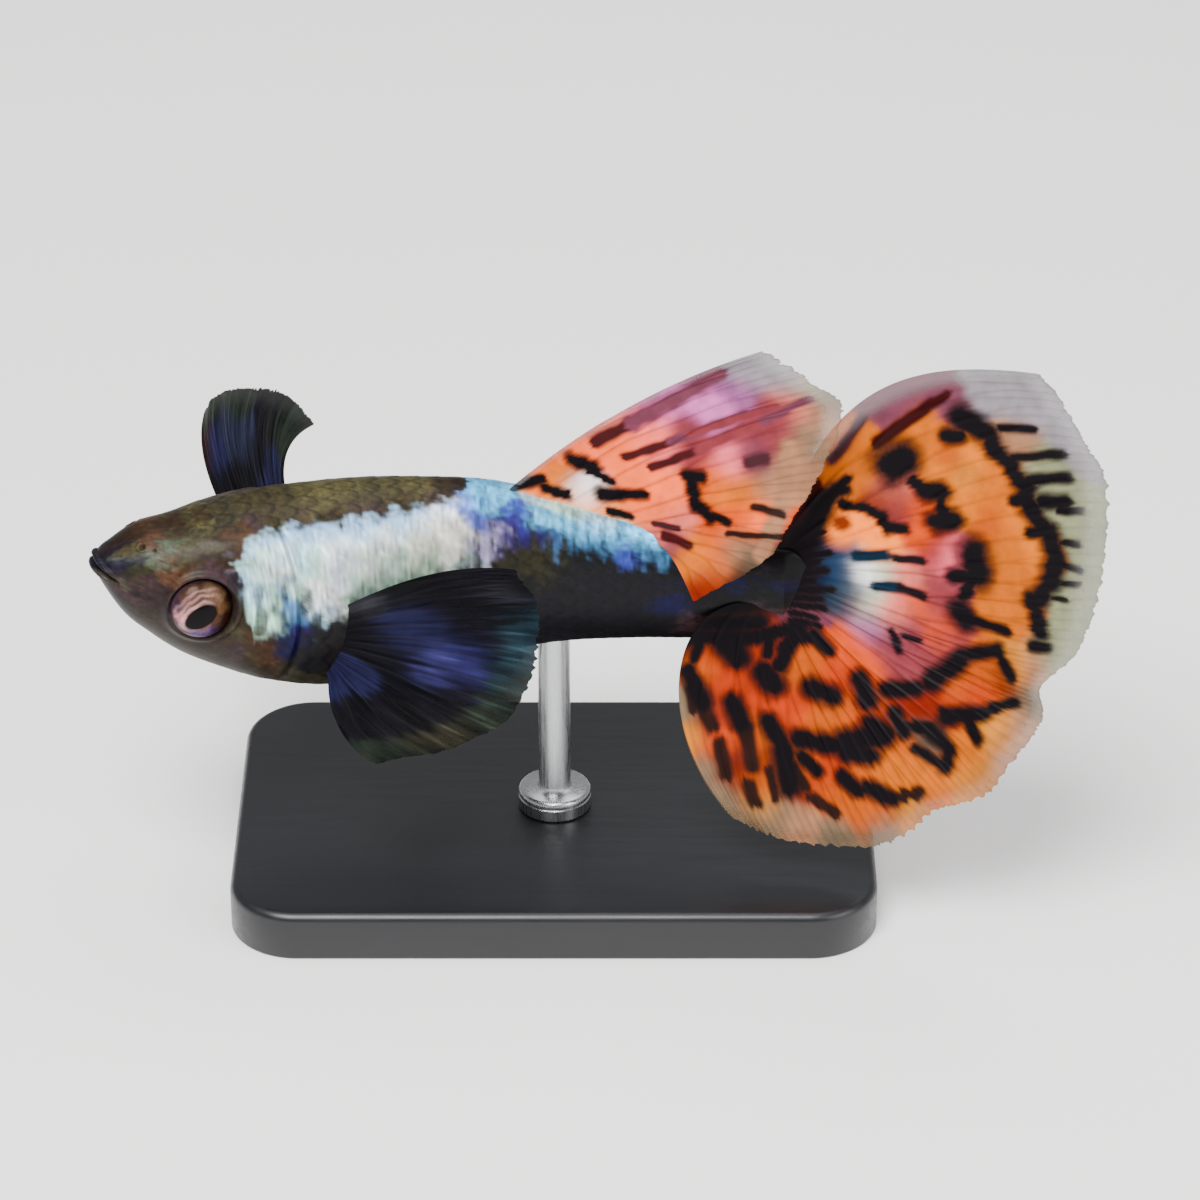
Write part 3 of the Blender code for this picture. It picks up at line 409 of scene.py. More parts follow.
# Mirror-like cells lie over the flank from the cheek to the dorsal fin and again along its base
SHINE_PIGMENTS = {
    "mint": "BEF0DA", "white": "F4F6F0", "cream": "F2EAD0", "sky": "5CBCEE", "blue": "3D48A8",
    "ice": "B4E2FA", "indigo": "2A1A5C", "sage": "98C0A8", "pearl": "B2A8D0", "steel": "42709C",
    "cornflower": "5874C4", "deep_blue": "303078",
}
SHINE_NOTES = [
    (0.213, 0.293, 0.75, "mint"), (0.250, 0.268, 0.72, "ice"), (0.281, 0.354, 0.75, "mint"),
    (0.237, 0.326, 0.72, "white"), (0.202, 0.399, 0.58, "ice"), (0.194, 0.519, 0.51, "mint"),
    (0.227, 0.446, 0.51, "sage"), (0.243, 0.406, 0.36, "steel"), (0.213, 0.477, 0.43, "mint"),
    (0.263, 0.474, 0.43, "steel"), (0.268, 0.547, 0.43, "indigo"), (0.275, 0.599, 0.43, "indigo"),
    (0.299, 0.474, 0.43, "ice"), (0.307, 0.434, 0.58, "white"), (0.292, 0.532, 0.29, "ice"),
    (0.317, 0.233, 0.72, "ice"), (0.327, 0.298, 0.75, "white"), (0.366, 0.261, 0.75, "ice"),
    (0.385, 0.329, 0.80, "white"), (0.448, 0.228, 0.75, "ice"), (0.459, 0.296, 0.75, "cream"),
    (0.509, 0.288, 0.72, "cream"), (0.490, 0.216, 0.72, "white"), (0.420, 0.379, 0.72, "sage"),
    (0.369, 0.399, 0.72, "sage"), (0.471, 0.361, 0.58, "sage"), (0.543, 0.331, 0.58, "pearl"),
    (0.529, 0.379, 0.51, "sage"), (0.532, 0.183, 0.51, "cornflower"), (0.553, 0.223, 0.58, "blue"),
    (0.567, 0.138, 0.51, "sky"), (0.581, 0.070, 0.43, "sky"), (0.593, 0.238, 0.43, "indigo"),
    (0.572, 0.298, 0.51, "pearl"), (0.609, 0.138, 0.43, "blue"), (0.614, 0.253, 0.51, "deep_blue"),
    (0.600, 0.334, 0.58, "indigo"), (0.634, 0.050, 0.51, "ice"), (0.642, 0.171, 0.51, "sky"),
    (0.657, 0.095, 0.51, "mint"), (0.642, 0.281, 0.51, "indigo"), (0.683, 0.193, 0.65, "sky"),
    (0.671, 0.293, 0.51, "steel"), (0.724, 0.123, 0.58, "ice"), (0.731, 0.213, 0.65, "sky"),
    (0.727, 0.291, 0.51, "steel"), (0.766, 0.186, 0.65, "sky"), (0.773, 0.288, 0.51, "blue"),
    (0.808, 0.226, 0.58, "sky"), (0.819, 0.321, 0.51, "steel"), (0.275, 0.314, 0.51, "ice"),
    (0.335, 0.371, 0.43, "pearl"), (0.504, 0.334, 0.51, "white"), (0.692, 0.100, 0.43, "mint"),
]
flat = np.stack([body_share * BODY_LENGTH, around * HALF_GIRTH], -1)
streak = np.stack([body_share * BODY_LENGTH, around * 2.0], -1)
stray = flat + 0.18 * np.stack([mottle(flat, 1.3, 11), mottle(flat, 1.3, 12)], -1)
stray += 0.08 * np.stack([mottle(flat, 0.5, 21), mottle(flat, 0.5, 22)], -1)
ground = paint(stray, along_body(BODY_NOTES), BODY_PIGMENTS)
bright = paint(stray, along_body(SHINE_NOTES), SHINE_PIGMENTS)
bright = bright * (0.84 + 0.12 * mottle(flat * np.array([2.4, 0.6]), 0.5, 24) + 0.08 * mottle(flat, 1.4, 25))[..., None]

ragged = 0.010 * mottle(flat, 1.0, 13) + 0.006 * mottle(flat, 0.4, 14)
rear = fade(0.50, 0.56, body_share)
wobble = around + ragged + 0.016 * rear * mottle(streak, 0.8, 15)
UPPER_EDGE = [(0.185, 0.27), (0.195, 0.24), (0.22, 0.21), (0.26, 0.19), (0.35, 0.195), (0.40, 0.185),
              (0.45, 0.17), (0.50, 0.145), (0.53, 0.09), (0.55, -0.04), (0.80, -0.04), (0.84, 0.20)]
LOWER_EDGE = [(0.185, 0.42), (0.20, 0.55), (0.24, 0.52), (0.285, 0.54), (0.30, 0.49), (0.33, 0.46),
              (0.40, 0.43), (0.45, 0.41), (0.50, 0.39), (0.55, 0.36), (0.60, 0.33), (0.65, 0.29),
              (0.70, 0.29), (0.75, 0.32), (0.80, 0.36), (0.84, 0.34)]
upper_edge = np.interp(body_share, *np.array(UPPER_EDGE).T)
lower_edge = np.interp(body_share, *np.array(LOWER_EDGE).T)
shine = fade(upper_edge - 0.030, upper_edge + 0.040, wobble) * fade(lower_edge + 0.055, lower_edge - 0.050, wobble)
front_edge = np.interp(around, [0.20, 0.30, 0.40, 0.50], [0.206, 0.191, 0.193, 0.182])
shine *= fade(-0.014, 0.010, body_share - front_edge + 0.4 * ragged) * fade(0.848, 0.822, body_share + 0.3 * ragged)
depth = np.clip((around - upper_edge) / (lower_edge - upper_edge), 0.0, 1.0)
fingers = fade(-0.1, 0.9, mottle(streak, 0.7, 16))
shine *= 1.0 - 0.80 * rear * fingers * (0.15 + 0.85 * depth)
blotch = fade(-0.2, 0.7, mottle(flat, 0.9, 17)) * fade(0.36, 0.44, around) * fade(0.34, 0.30, body_share)
shine *= 1.0 - 0.80 * blotch

fringe = 0.55 * (hump(0.020, 0.032, wobble - upper_edge) * (1.0 - rear))[..., None]
bright = bright * (1.0 - fringe) + linear("7FA6E6") * fringe
ground = ground * (1.0 - shine[..., None]) + bright * shine[..., None]
speckle = 0.10 * mottle(flat, 0.5, 19) + 0.10 * mottle(flat, 0.28, 20)
ground = ground * (1.0 + speckle * (1.0 - 0.75 * shine))[..., None]
# Painted shade: the skin is darkened a little along the groove of the gill slit.
ground = np.clip(ground, 0.0, 1.0) * (1.0 - 0.18 * gill_slit)[..., None]
# Painted shade: the slit of the mouth and the nostril pits are darkened nearly to black.
dark = np.clip(0.80 * mouth_slit + 0.75 * pits, 0.0, 0.94)[..., None]
ground = ground * (1.0 - dark) + linear("0A080A") * dark
# Painted shade: a ring of skin round each eye socket is darkened where the skin rolls in under the eye.
ground = ground * (1.0 - 0.40 * rim[..., None]) + linear("30282A") * 0.40 * rim[..., None]
def add_mesh(name, points, faces):
    """Smooth-shaded object from points in millimetres."""
    mesh = bpy.data.meshes.new(name)
    mesh.from_pydata((np.asarray(points, float) * MM).tolist(), [], faces)
    mesh.validate()
    mesh.shade_smooth()
    made = bpy.data.objects.new(name, mesh)
    bpy.context.scene.collection.objects.link(made)
    return made


def add_field(piece, name, values):
    """Store a number or a colour for each point, for the material to read."""
    values = np.asarray(values, np.float32)
    if values.ndim == 2:
        store = piece.data.color_attributes.new(name, "FLOAT_COLOR", "POINT")
        full = np.concatenate([values, np.ones((len(values), 1), np.float32)], axis=1)
        store.data.foreach_set("color", full.ravel())
    else:
        store = piece.data.attributes.new(name, "FLOAT", "POINT")
        store.data.foreach_set("value", values)


def hoop_faces(rows, columns, first, last):
    """Faces over a grid that closes on itself, with a fan at each end."""
    faces = []
    for row in range(rows - 1):
        for col in range(columns):
            here = row * columns + col
            beside = row * columns + (col + 1) % columns
            faces.append((here, here + columns, beside + columns, beside))
    for col in range(columns):
        beside = (col + 1) % columns
        faces.append((first, col, beside))
        faces.append((last, (rows - 1) * columns + beside, (rows - 1) * columns + col))
    return faces


def face_outward(piece):
    """Turn the faces so that the closed mesh has them all pointing out."""
    points = np.array([v.co for v in piece.data.vertices])
    piece.data.calc_loop_triangles()
    corners = points[np.array([t.vertices for t in piece.data.loop_triangles])]
    volume = (corners[:, 0] * np.cross(corners[:, 1], corners[:, 2])).sum()
    if volume < 0.0:
        piece.data.flip_normals()


rows = len(skin_grid)
ends = [skin_grid[0].mean(axis=0) + ahead * 0.005, skin_grid[-1].mean(axis=0)]
skin_points = np.concatenate([skin_grid.reshape(-1, 3), ends])
skin = add_mesh("guppy_skin", skin_points, hoop_faces(rows, SKIN_COLUMNS, rows * SKIN_COLUMNS, rows * SKIN_COLUMNS + 1))
face_outward(skin)


def with_ends(grid):
    """Values of a grid as one list, with its first and last rows averaged for the end points."""
    values = grid.reshape(rows * SKIN_COLUMNS, -1)
    values = np.concatenate([values, [values[:SKIN_COLUMNS].mean(0), values[-SKIN_COLUMNS:].mean(0)]])
    return values[:, 0] if values.shape[1] == 1 else values


add_field(skin, "ground", with_ends(ground))
add_field(skin, "shine", with_ends(shine))
add_field(skin, "edge", with_ends(scale_edge * scaled))


def add_node(tree, kind, settings=None, links=None):
    """Add a node, set its properties or sockets by name, and link its inputs."""
    node = tree.nodes.new(kind)
    for key, value in (settings or {}).items():
        if isinstance(key, str) and hasattr(node, key):
            setattr(node, key, value)
        else:
            node.inputs[key].default_value = value
    for key, source in (links or {}).items():
        tree.links.new(source, node.inputs[key])
    return node


def new_material(name):
    """Material with nodes: its tree and its shader."""
    material = bpy.data.materials.new(name)
    material.use_nodes = True
    return material, material.node_tree, material.node_tree.nodes["Principled BSDF"]


# Painted polyurethane resin under clear satin varnish: fine pigment grain, darker rims on the
# scales, and pearl pigment on the flank that turns the paint half metallic.
varnished_skin, tree, shader = new_material("varnished_resin_fish_skin")
place = add_node(tree, "ShaderNodeTexCoord")
colour = add_node(tree, "ShaderNodeAttribute", {"attribute_name": "ground"})
pearl = add_node(tree, "ShaderNodeAttribute", {"attribute_name": "shine"})
edge = add_node(tree, "ShaderNodeAttribute", {"attribute_name": "edge"})
# Pigment grain of 0.22 mm and brush mottling of 0.9 mm
grain = add_node(tree, "ShaderNodeTexNoise", {"Scale": 1 / (0.22 * MM), "Detail": 2.0},
                 {"Vector": place.outputs["Object"]})
cloud = add_node(tree, "ShaderNodeTexNoise", {"Scale": 1 / (0.9 * MM), "Detail": 3.0},
                 {"Vector": place.outputs["Object"]})
grain_gain = add_node(tree, "ShaderNodeMapRange", {"From Min": 0.3, "From Max": 0.7, "To Min": 0.74, "To Max": 1.26},
                      {"Value": grain.outputs["Fac"]})
cloud_gain = add_node(tree, "ShaderNodeMapRange", {"From Min": 0.3, "From Max": 0.7, "To Min": 0.85, "To Max": 1.15},
                      {"Value": cloud.outputs["Fac"]})
rim_gain = add_node(tree, "ShaderNodeMapRange", {"To Min": 1.12, "To Max": 0.55}, {"Value": edge.outputs["Fac"]})
gain = add_node(tree, "ShaderNodeMath", {"operation": "MULTIPLY"},
                {0: grain_gain.outputs["Result"], 1: cloud_gain.outputs["Result"]})
gain = add_node(tree, "ShaderNodeMath", {"operation": "MULTIPLY"}, {0: gain.outputs[0], 1: rim_gain.outputs["Result"]})
gain = add_node(tree, "ShaderNodeMix", {3: 1.0}, {0: pearl.outputs["Fac"], 2: gain.outputs[0]})
tinted = add_node(tree, "ShaderNodeVectorMath", {"operation": "SCALE"},
                  {0: colour.outputs["Color"], "Scale": gain.outputs[0]})
metal = add_node(tree, "ShaderNodeMapRange", {"To Min": 0.03, "To Max": 0.60}, {"Value": pearl.outputs["Fac"]})
gloss = add_node(tree, "ShaderNodeMapRange", {"To Min": 0.48, "To Max": 0.34}, {"Value": pearl.outputs["Fac"]})
bump = add_node(tree, "ShaderNodeBump", {"Strength": 0.25, "Distance": 0.02 * MM}, {"Height": grain.outputs["Fac"]})
for socket, source in (("Base Color", tinted.outputs[0]), ("Metallic", metal.outputs["Result"]),
                       ("Roughness", gloss.outputs["Result"]), ("Normal", bump.outputs["Normal"])):
    tree.links.new(source, shader.inputs[socket])
shader.inputs["IOR"].default_value = 1.45
shader.inputs["Specular IOR Level"].default_value = 0.16
shader.inputs["Coat Weight"].default_value = 0.03
shader.inputs["Coat Roughness"].default_value = 0.16
skin.data.materials.append(varnished_skin)
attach(skin, "root")
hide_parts("head", "torso", "caudal_peduncle")

# Eyes: glass taxidermy eyes, flattened balls blown in clear glass with the iris and the pupil
# painted behind the front face. Each is pushed into its socket from outside and glued.
EYE_COLUMNS = 120
EYE_ROWS = 70
PUPIL_LONG = 0.73
PUPIL_SHORT = 0.46
PUPIL_TILT = 30.0
PUPIL_AHEAD = 0.20
PUPIL_UP = -0.17
IRIS_PIGMENTS = {
    "pearl": "C2757B", "blush": "63423E", "tan": "634A35", "ginger": "523821", "brown": "3F281C",
    "mauve": "34203C", "lilac": "5C466F", "umber": "210C04", "olive": "2A2315",
}
# Way forward and way up from the middle of the eye, reach and pigment
IRIS_NOTES = [
    (1.02, -0.10, 0.20, "pearl"), (0.80, -0.62, 0.18, "blush"), (0.62, 0.58, 0.22, "blush"),
    (-0.30, 0.92, 0.25, "tan"), (0.72, 0.15, 0.25, "blush"), (0.30, 0.45, 0.25, "brown"),
    (-0.35, 0.60, 0.25, "brown"), (0.62, 0.92, 0.25, "brown"), (0.05, 1.08, 0.25, "brown"),
    (1.18, 0.35, 0.20, "mauve"), (1.26, -0.30, 0.16, "mauve"), (-0.85, 0.92, 0.25, "ginger"),
    (-0.75, 0.55, 0.22, "tan"), (-1.14, 0.33, 0.25, "umber"), (-0.90, 0.05, 0.22, "ginger"),
    (-1.01, -0.25, 0.25, "umber"), (-0.88, -0.69, 0.25, "umber"), (-0.40, -1.00, 0.22, "mauve"),
    (0.03, -1.02, 0.20, "lilac"), (0.50, -0.95, 0.20, "lilac"), (1.02, -0.85, 0.20, "mauve"),
    (0.00, 1.28, 0.20, "umber"), (0.10, -0.72, 0.16, "blush"), (-0.60, -0.55, 0.18, "brown"),
]
glass_eye, tree, shader = new_material("painted_glass_eye")
place = add_node(tree, "ShaderNodeTexCoord")
colour = add_node(tree, "ShaderNodeAttribute", {"attribute_name": "ground"})
pearl = add_node(tree, "ShaderNodeAttribute", {"attribute_name": "shine"})
# Flecks of pearl pigment of 0.12 mm in the iris
fleck = add_node(tree, "ShaderNodeTexNoise", {"Scale": 1 / (0.12 * MM), "Detail": 2.0},
                 {"Vector": place.outputs["Object"]})
gain = add_node(tree, "ShaderNodeMapRange", {"From Min": 0.3, "From Max": 0.7, "To Min": 0.82, "To Max": 1.15},
                {"Value": fleck.outputs["Fac"]})
tinted = add_node(tree, "ShaderNodeVectorMath", {"operation": "SCALE"},
                  {0: colour.outputs["Color"], "Scale": gain.outputs["Result"]})
metal = add_node(tree, "ShaderNodeMapRange", {"To Min": 0.0, "To Max": 0.25}, {"Value": pearl.outputs["Fac"]})
tree.links.new(tinted.outputs[0], shader.inputs["Base Color"])
tree.links.new(metal.outputs["Result"], shader.inputs["Metallic"])
shader.inputs["Roughness"].default_value = 0.35
shader.inputs["IOR"].default_value = 1.45
shader.inputs["Specular IOR Level"].default_value = 0.08
shader.inputs["Coat Weight"].default_value = 0.05
shader.inputs["Coat Roughness"].default_value = 0.02
shader.inputs["Coat IOR"].default_value = 1.52

for side, label in ((-1, "left"), (1, "right")):
    centre, forward, upward, outward = eye_frame(side)
    polar = np.linspace(0.02, math.pi * 0.62, EYE_ROWS)[:, None]
    spin = np.linspace(0.0, 2 * math.pi, EYE_COLUMNS, endpoint=False)[None, :]
    ahead_by = EYE_RADIUS * np.sin(polar) * np.cos(spin)
    up_by = EYE_RADIUS * np.sin(polar) * np.sin(spin)
    out_by = EYE_DEPTH * np.cos(polar) + 0.0 * spin
    tilt = math.radians(PUPIL_TILT)
    long_by = -(ahead_by - PUPIL_AHEAD) * math.cos(tilt) + (up_by - PUPIL_UP) * math.sin(tilt)
    short_by = (ahead_by - PUPIL_AHEAD) * math.sin(tilt) + (up_by - PUPIL_UP) * math.cos(tilt)
    oval = np.sqrt((long_by / PUPIL_LONG) ** 2 + (short_by / PUPIL_SHORT) ** 2)
    out_by = out_by + 0.035 * fade(1.10, 0.92, oval) - 0.02 * hump(1.16, 0.07, oval)
    grid = centre + ahead_by[..., None] * forward + up_by[..., None] * upward + out_by[..., None] * outward
    flat_eye = np.stack([ahead_by, up_by], -1)
    flat_eye += 0.04 * np.stack([mottle(flat_eye, 0.5, 21), mottle(flat_eye, 0.5, 22)], -1)
    iris = paint(flat_eye, [((f, u), reach, name) for f, u, reach, name in IRIS_NOTES], IRIS_PIGMENTS)
    fibre = np.cos(np.arctan2(short_by, long_by) * 46 + 2.0 * mottle(flat_eye, 0.6, 23))
    iris = iris * ((1.0 + 0.10 * fibre) * (1.0 - 0.35 * fade(0.80, 1.20, np.hypot(ahead_by, up_by))))[..., None]
    for ring, width, strength in ((1.20, 0.13, 0.50), (1.66, 0.12, 0.30), (2.08, 0.12, 0.20)):
        stray_ring = oval + 0.08 * mottle(flat_eye, 0.8, 27)
        glint = strength * hump(ring, width, stray_ring) * fade(-0.35, 0.55, 0.8 * ahead_by + 0.6 * up_by)
        iris = iris + (linear("D6A8A4") - iris) * glint[..., None]
    pupil = fade(1.05, 0.96, oval)[..., None]
    # Painted shade: the edge of each eyeball, where it goes in under the skin, is darkened.
    socket = fade(1.20, 1.31, np.hypot(ahead_by, up_by))[..., None]
    iris = iris * (1.0 - socket) + linear("34242E") * socket
    iris = iris * (1.0 - pupil) + linear("060304") * pupil
    pole = centre + outward * (EYE_DEPTH + 0.035)
    points = np.concatenate([grid.reshape(-1, 3), [pole, grid[-1].mean(axis=0)]])
    count = EYE_ROWS * EYE_COLUMNS
    eye = add_mesh(label + "_glass_eye", points, hoop_faces(EYE_ROWS, EYE_COLUMNS, count, count + 1))
    face_outward(eye)
    iris_list = np.concatenate([iris.reshape(-1, 3), [iris[0].mean(0), iris[-1].mean(0)]])
    add_field(eye, "ground", np.clip(iris_list, 0.0, 1.0))
    add_field(eye, "shine", np.concatenate([(1.0 - pupil).ravel() * (1.0 - socket).ravel(), [0.0, 0.0]]))
    eye.data.materials.append(glass_eye)
    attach(eye, "root")
    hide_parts("eye_" + label)


# Fins. On a model each is cast in clear flexible resin as one thin web stiffened by bony rays
# that fork twice on their way out, then painted on both faces and let into a slit in the body.
def curve_through(points, at):
    """Smooth curve through evenly spaced points."""
    points = np.asarray(points, float)
    spaced = np.column_stack([np.linspace(0.0, 1.0, len(points)), points.reshape(len(points), -1)])
    return smooth_rows(spaced, np.asarray(at, float)).reshape(np.shape(at) + points.shape[1:])


def ray_points(root, middle, tip, along):
    """Points on the curve that runs from the root through the middle of a ray to its tip."""
    a = along[..., None] if along.ndim == 2 else along[None, :, None]
    start = (1.0 - a) * (1.0 - 2.0 * a)
    centre = 4.0 * a * (1.0 - a)
    end = a * (2.0 * a - 1.0)
    return start * root[:, None] + centre * middle[:, None] + end * tip[:, None]


FORKS = (0.34, 0.66)
FORK_LENGTH = 0.22


def ray_relief(surface, places, along, rays, width):
    """How far each point stands up as part of a ray, 0 to 1; rays fork twice towards the margin."""
    cell = np.linalg.norm(np.gradient(surface, places, axis=0), axis=2) / (rays - 1)
    number = places * (rays - 1)
    off = np.abs(number - np.round(number))[:, None]
    off = np.abs(off - 0.25 * fade(FORKS[0], FORKS[0] + FORK_LENGTH, along)[None, :])
    off = np.abs(off - 0.125 * fade(FORKS[1], FORKS[1] + FORK_LENGTH, along)[None, :])
    return np.exp(-(off * cell / (width * (1.0 - 0.45 * along[None, :]))) ** 2)


def fin_normals(surface, along):
    """Unit normals of a fin's grid, steadied near its narrow root."""
    normal = np.cross(np.gradient(surface, axis=1), np.gradient(surface, axis=0))
    normal /= np.linalg.norm(normal, axis=2)[..., None]
    common = normal[:, : len(along) // 2].mean(axis=(0, 1))
    steady = fade(0.05, 0.45, along)[None, :, None]
    normal = common * (1.0 - steady) + normal * steady
    return normal / np.linalg.norm(normal, axis=2)[..., None]


def cast_fin(name, surface, along, relief, web, ray, root, fields, material):
    """Closed thin web with rays on both faces; web, ray and root are half thicknesses."""
    columns, rows = surface.shape[:2]
    normal = fin_normals(surface, along)
    half = web + (ray * (1.0 - 0.6 * along[None, :]) - web) * relief * fade(0.04, 0.34, along)[None, :]
    half = half + (root - web) * fade(0.16, 0.0, along)[None, :]
    half[:, -1] = 0.03
    half[0] = np.minimum(half[0], 0.10)
    half[-1] = np.minimum(half[-1], 0.10)
    front = surface + normal * half[..., None]
    back = surface - normal * half[..., None]
    behind = columns * rows
    number = np.arange(behind).reshape(columns, rows)
    quads = np.stack([number[:-1, :-1], number[1:, :-1], number[1:, 1:], number[:-1, 1:]], -1).reshape(-1, 4)
    edge = np.concatenate([number[0], number[1:, -1], number[-1, -2::-1], number[-2:0:-1, 0]])
    turned = np.roll(edge, -1)
    rim_quads = np.stack([edge, turned, turned + behind, edge + behind], -1)
    faces = np.concatenate([quads, quads[:, ::-1] + behind, rim_quads[:, ::-1]]).tolist()
    fin = add_mesh(name, np.concatenate([front.reshape(-1, 3), back.reshape(-1, 3)]), faces)
    face_outward(fin)
    for key, values in dict(fields, proud=relief).items():
        values = np.asarray(values, float)
        values = values.reshape(behind, -1)
        values = np.concatenate([values, values])
        add_field(fin, key, values[:, 0] if values.shape[1] == 1 else values)
    fin.data.materials.append(material)
    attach(fin, "root")
    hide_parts(name)
    return fin


def spots_on(surface, notes, reach):
    """Painting notes of a fin, each a place, a distance and a pigment, as dabs on its surface."""
    return [(surface(np.array([place]), np.array([[far]]))[0, 0], reach, name) for place, far, name in notes]


def brush(points, surface, strokes):
    """Field of brush strokes on a fin, 0.5 on the outline of each; half widths in millimetres."""
    field = np.zeros(points.shape[:-1])
    edges = surface(np.array([0.1, 0.9]), np.array([[0.2, 1.0], [0.2, 1.0]]))
    facing = np.cross(edges[0, 1] - edges[0, 0], edges[1, 1] - edges[1, 0])
    pressed = np.eye(3) - np.outer(facing, facing) / (facing @ facing)
    points = points @ pressed
    for place, far, next_place, next_far, half in strokes:
        start = surface(np.array([place]), np.array([[far]]))[0, 0] @ pressed
        span = surface(np.array([next_place]), np.array([[next_far]]))[0, 0] @ pressed - start
        away = points - start
        share = np.clip((away @ span) / (span @ span), 0.0, 1.0)
        beside = np.linalg.norm(away - share[..., None] * span, axis=-1)
        field = np.maximum(field, 0.5 ** ((beside / half) ** 2))
    return field


def painted(points, surface, notes, reach, tints, strokes):
    """Ground colour and ink of a fin: dabs of pigment, tinted strokes over them, then black strokes."""
    ground = paint(points, spots_on(surface, notes, reach), MOSAIC_PIGMENTS)
    for name, *stroke in tints:
        laid = fade(0.12, 0.80, brush(points, surface, [stroke]))[..., None]
        ground = ground * (1.0 - laid) + linear(MOSAIC_PIGMENTS[name]) * laid
    ink = brush(points, surface, strokes)
    halo = 0.60 * fade(0.05, 0.45, ink)[..., None]
    return ground * (1.0 - halo) + linear(MOSAIC_PIGMENTS["cocoa"]) * halo, ink
def fin_web(name, ink, see_through, roughness):
    """Painted flexible resin web: pigment, dark ink with soft feathered edges, clear margins."""
    material, tree, shader = new_material(name)
    place = add_node(tree, "ShaderNodeTexCoord")
    colour = add_node(tree, "ShaderNodeAttribute", {"attribute_name": "ground"})
    stain = add_node(tree, "ShaderNodeAttribute", {"attribute_name": "ink"})
    proud = add_node(tree, "ShaderNodeAttribute", {"attribute_name": "proud"})
    clear = add_node(tree, "ShaderNodeAttribute", {"attribute_name": "clear"})
    # Pigment grain of 0.18 mm
    grain = add_node(tree, "ShaderNodeTexNoise", {"Scale": 1 / (0.18 * MM), "Detail": 2.0},
                     {"Vector": place.outputs["Object"]})
    cloud = add_node(tree, "ShaderNodeTexNoise", {"Scale": 1 / (0.7 * MM), "Detail": 2.0},
                     {"Vector": place.outputs["Object"]})
    ragged = add_node(tree, "ShaderNodeMath", {"operation": "MULTIPLY_ADD", 1: 0.16, 2: -0.08},
                      {0: grain.outputs["Fac"]})
    level = add_node(tree, "ShaderNodeMath", {"operation": "ADD"}, {0: stain.outputs["Fac"], 1: ragged.outputs[0]})
    laid = add_node(tree, "ShaderNodeMapRange", {"interpolation_type": "SMOOTHSTEP", "From Min": 0.16, "From Max": 0.84},
                    {"Value": level.outputs[0]})
    cloud_gain = add_node(tree, "ShaderNodeMapRange",
                          {"From Min": 0.3, "From Max": 0.7, "To Min": 0.86, "To Max": 1.14},
                          {"Value": cloud.outputs["Fac"]})
    ray_gain = add_node(tree, "ShaderNodeMapRange", {"To Min": 1.06, "To Max": 0.86}, {"Value": proud.outputs["Fac"]})
    gain = add_node(tree, "ShaderNodeMath", {"operation": "MULTIPLY"},
                    {0: cloud_gain.outputs["Result"], 1: ray_gain.outputs["Result"]})
    tinted = add_node(tree, "ShaderNodeVectorMath", {"operation": "SCALE"},
                      {0: colour.outputs["Color"], "Scale": gain.outputs[0]})
    inked = add_node(tree, "ShaderNodeMix", {"data_type": "RGBA", 7: (*linear(ink), 1.0)},
                     {0: laid.outputs["Result"], 6: tinted.outputs[0]})
    tree.links.new(inked.outputs[2], shader.inputs["Base Color"])
    alpha = add_node(tree, "ShaderNodeMapRange", {"To Min": 1.0, "To Max": see_through}, {"Value": clear.outputs["Fac"]})
    tree.links.new(alpha.outputs["Result"], shader.inputs["Alpha"])
    bump = add_node(tree, "ShaderNodeBump", {"Strength": 0.15, "Distance": 0.02 * MM}, {"Height": cloud.outputs["Fac"]})
    tree.links.new(bump.outputs["Normal"], shader.inputs["Normal"])
    shader.inputs["Roughness"].default_value = roughness
    shader.inputs["IOR"].default_value = 1.41
    shader.inputs["Specular IOR Level"].default_value = 0.08
    return material


# Tail fin: the great fan of the breed, painted as a mosaic of black spots and bars on orange,
# red, rose and white, with a clear grey margin. Its web is bent back and waved at the margin.
CAUDAL_ROOT_UP = 0.46
CAUDAL_KEYS = np.array([
    [(1.9, 7.2), (5.4, 10.3), (10.0, 11.8)],
    [(3.4, 4.9), (7.8, 8.3), (11.7, 9.9)],
    [(4.6, 3.1), (8.7, 5.6), (12.8, 7.6)],
    [(4.9, 1.2), (8.9, 2.3), (12.7, 3.8)],
    [(4.4, -0.4), (8.3, -0.4), (11.7, 0.2)],
    [(4.1, -1.1), (7.8, -1.6), (10.5, -1.7)],
    [(3.6, -1.9), (7.1, -3.0), (10.2, -3.7)],
    [(2.8, -2.8), (5.7, -4.9), (8.4, -6.8)],
    [(2.0, -3.4), (4.3, -6.0), (6.4, -8.1)],
    [(0.9, -3.8), (2.6, -7.0), (4.6, -10.0)],
    [(-0.6, -3.8), (0.2, -7.5), (1.8, -10.9)],
    [(-2.4, -3.4), (-2.2, -7.1), (-0.6, -10.8)],
    [(-4.3, -2.9), (-4.4, -6.4), (-2.2, -10.1)],
])
CAUDAL_RAYS = 22
CAUDAL_COLUMNS = 540
CAUDAL_ROWS = 90


def caudal_depth(x, z):
    """How far the tail fin swings to the fish's left, from its bend and its lean."""
    bend = 0.18 * (x + np.sqrt(x ** 2 + 1.0)) - 0.18 + 0.02 * np.clip(x, 0.0, None) ** 2
    lean = 0.24 * z - 0.12 * (np.sqrt(z ** 2 + 4.0) - 2.0)
    return lean - bend


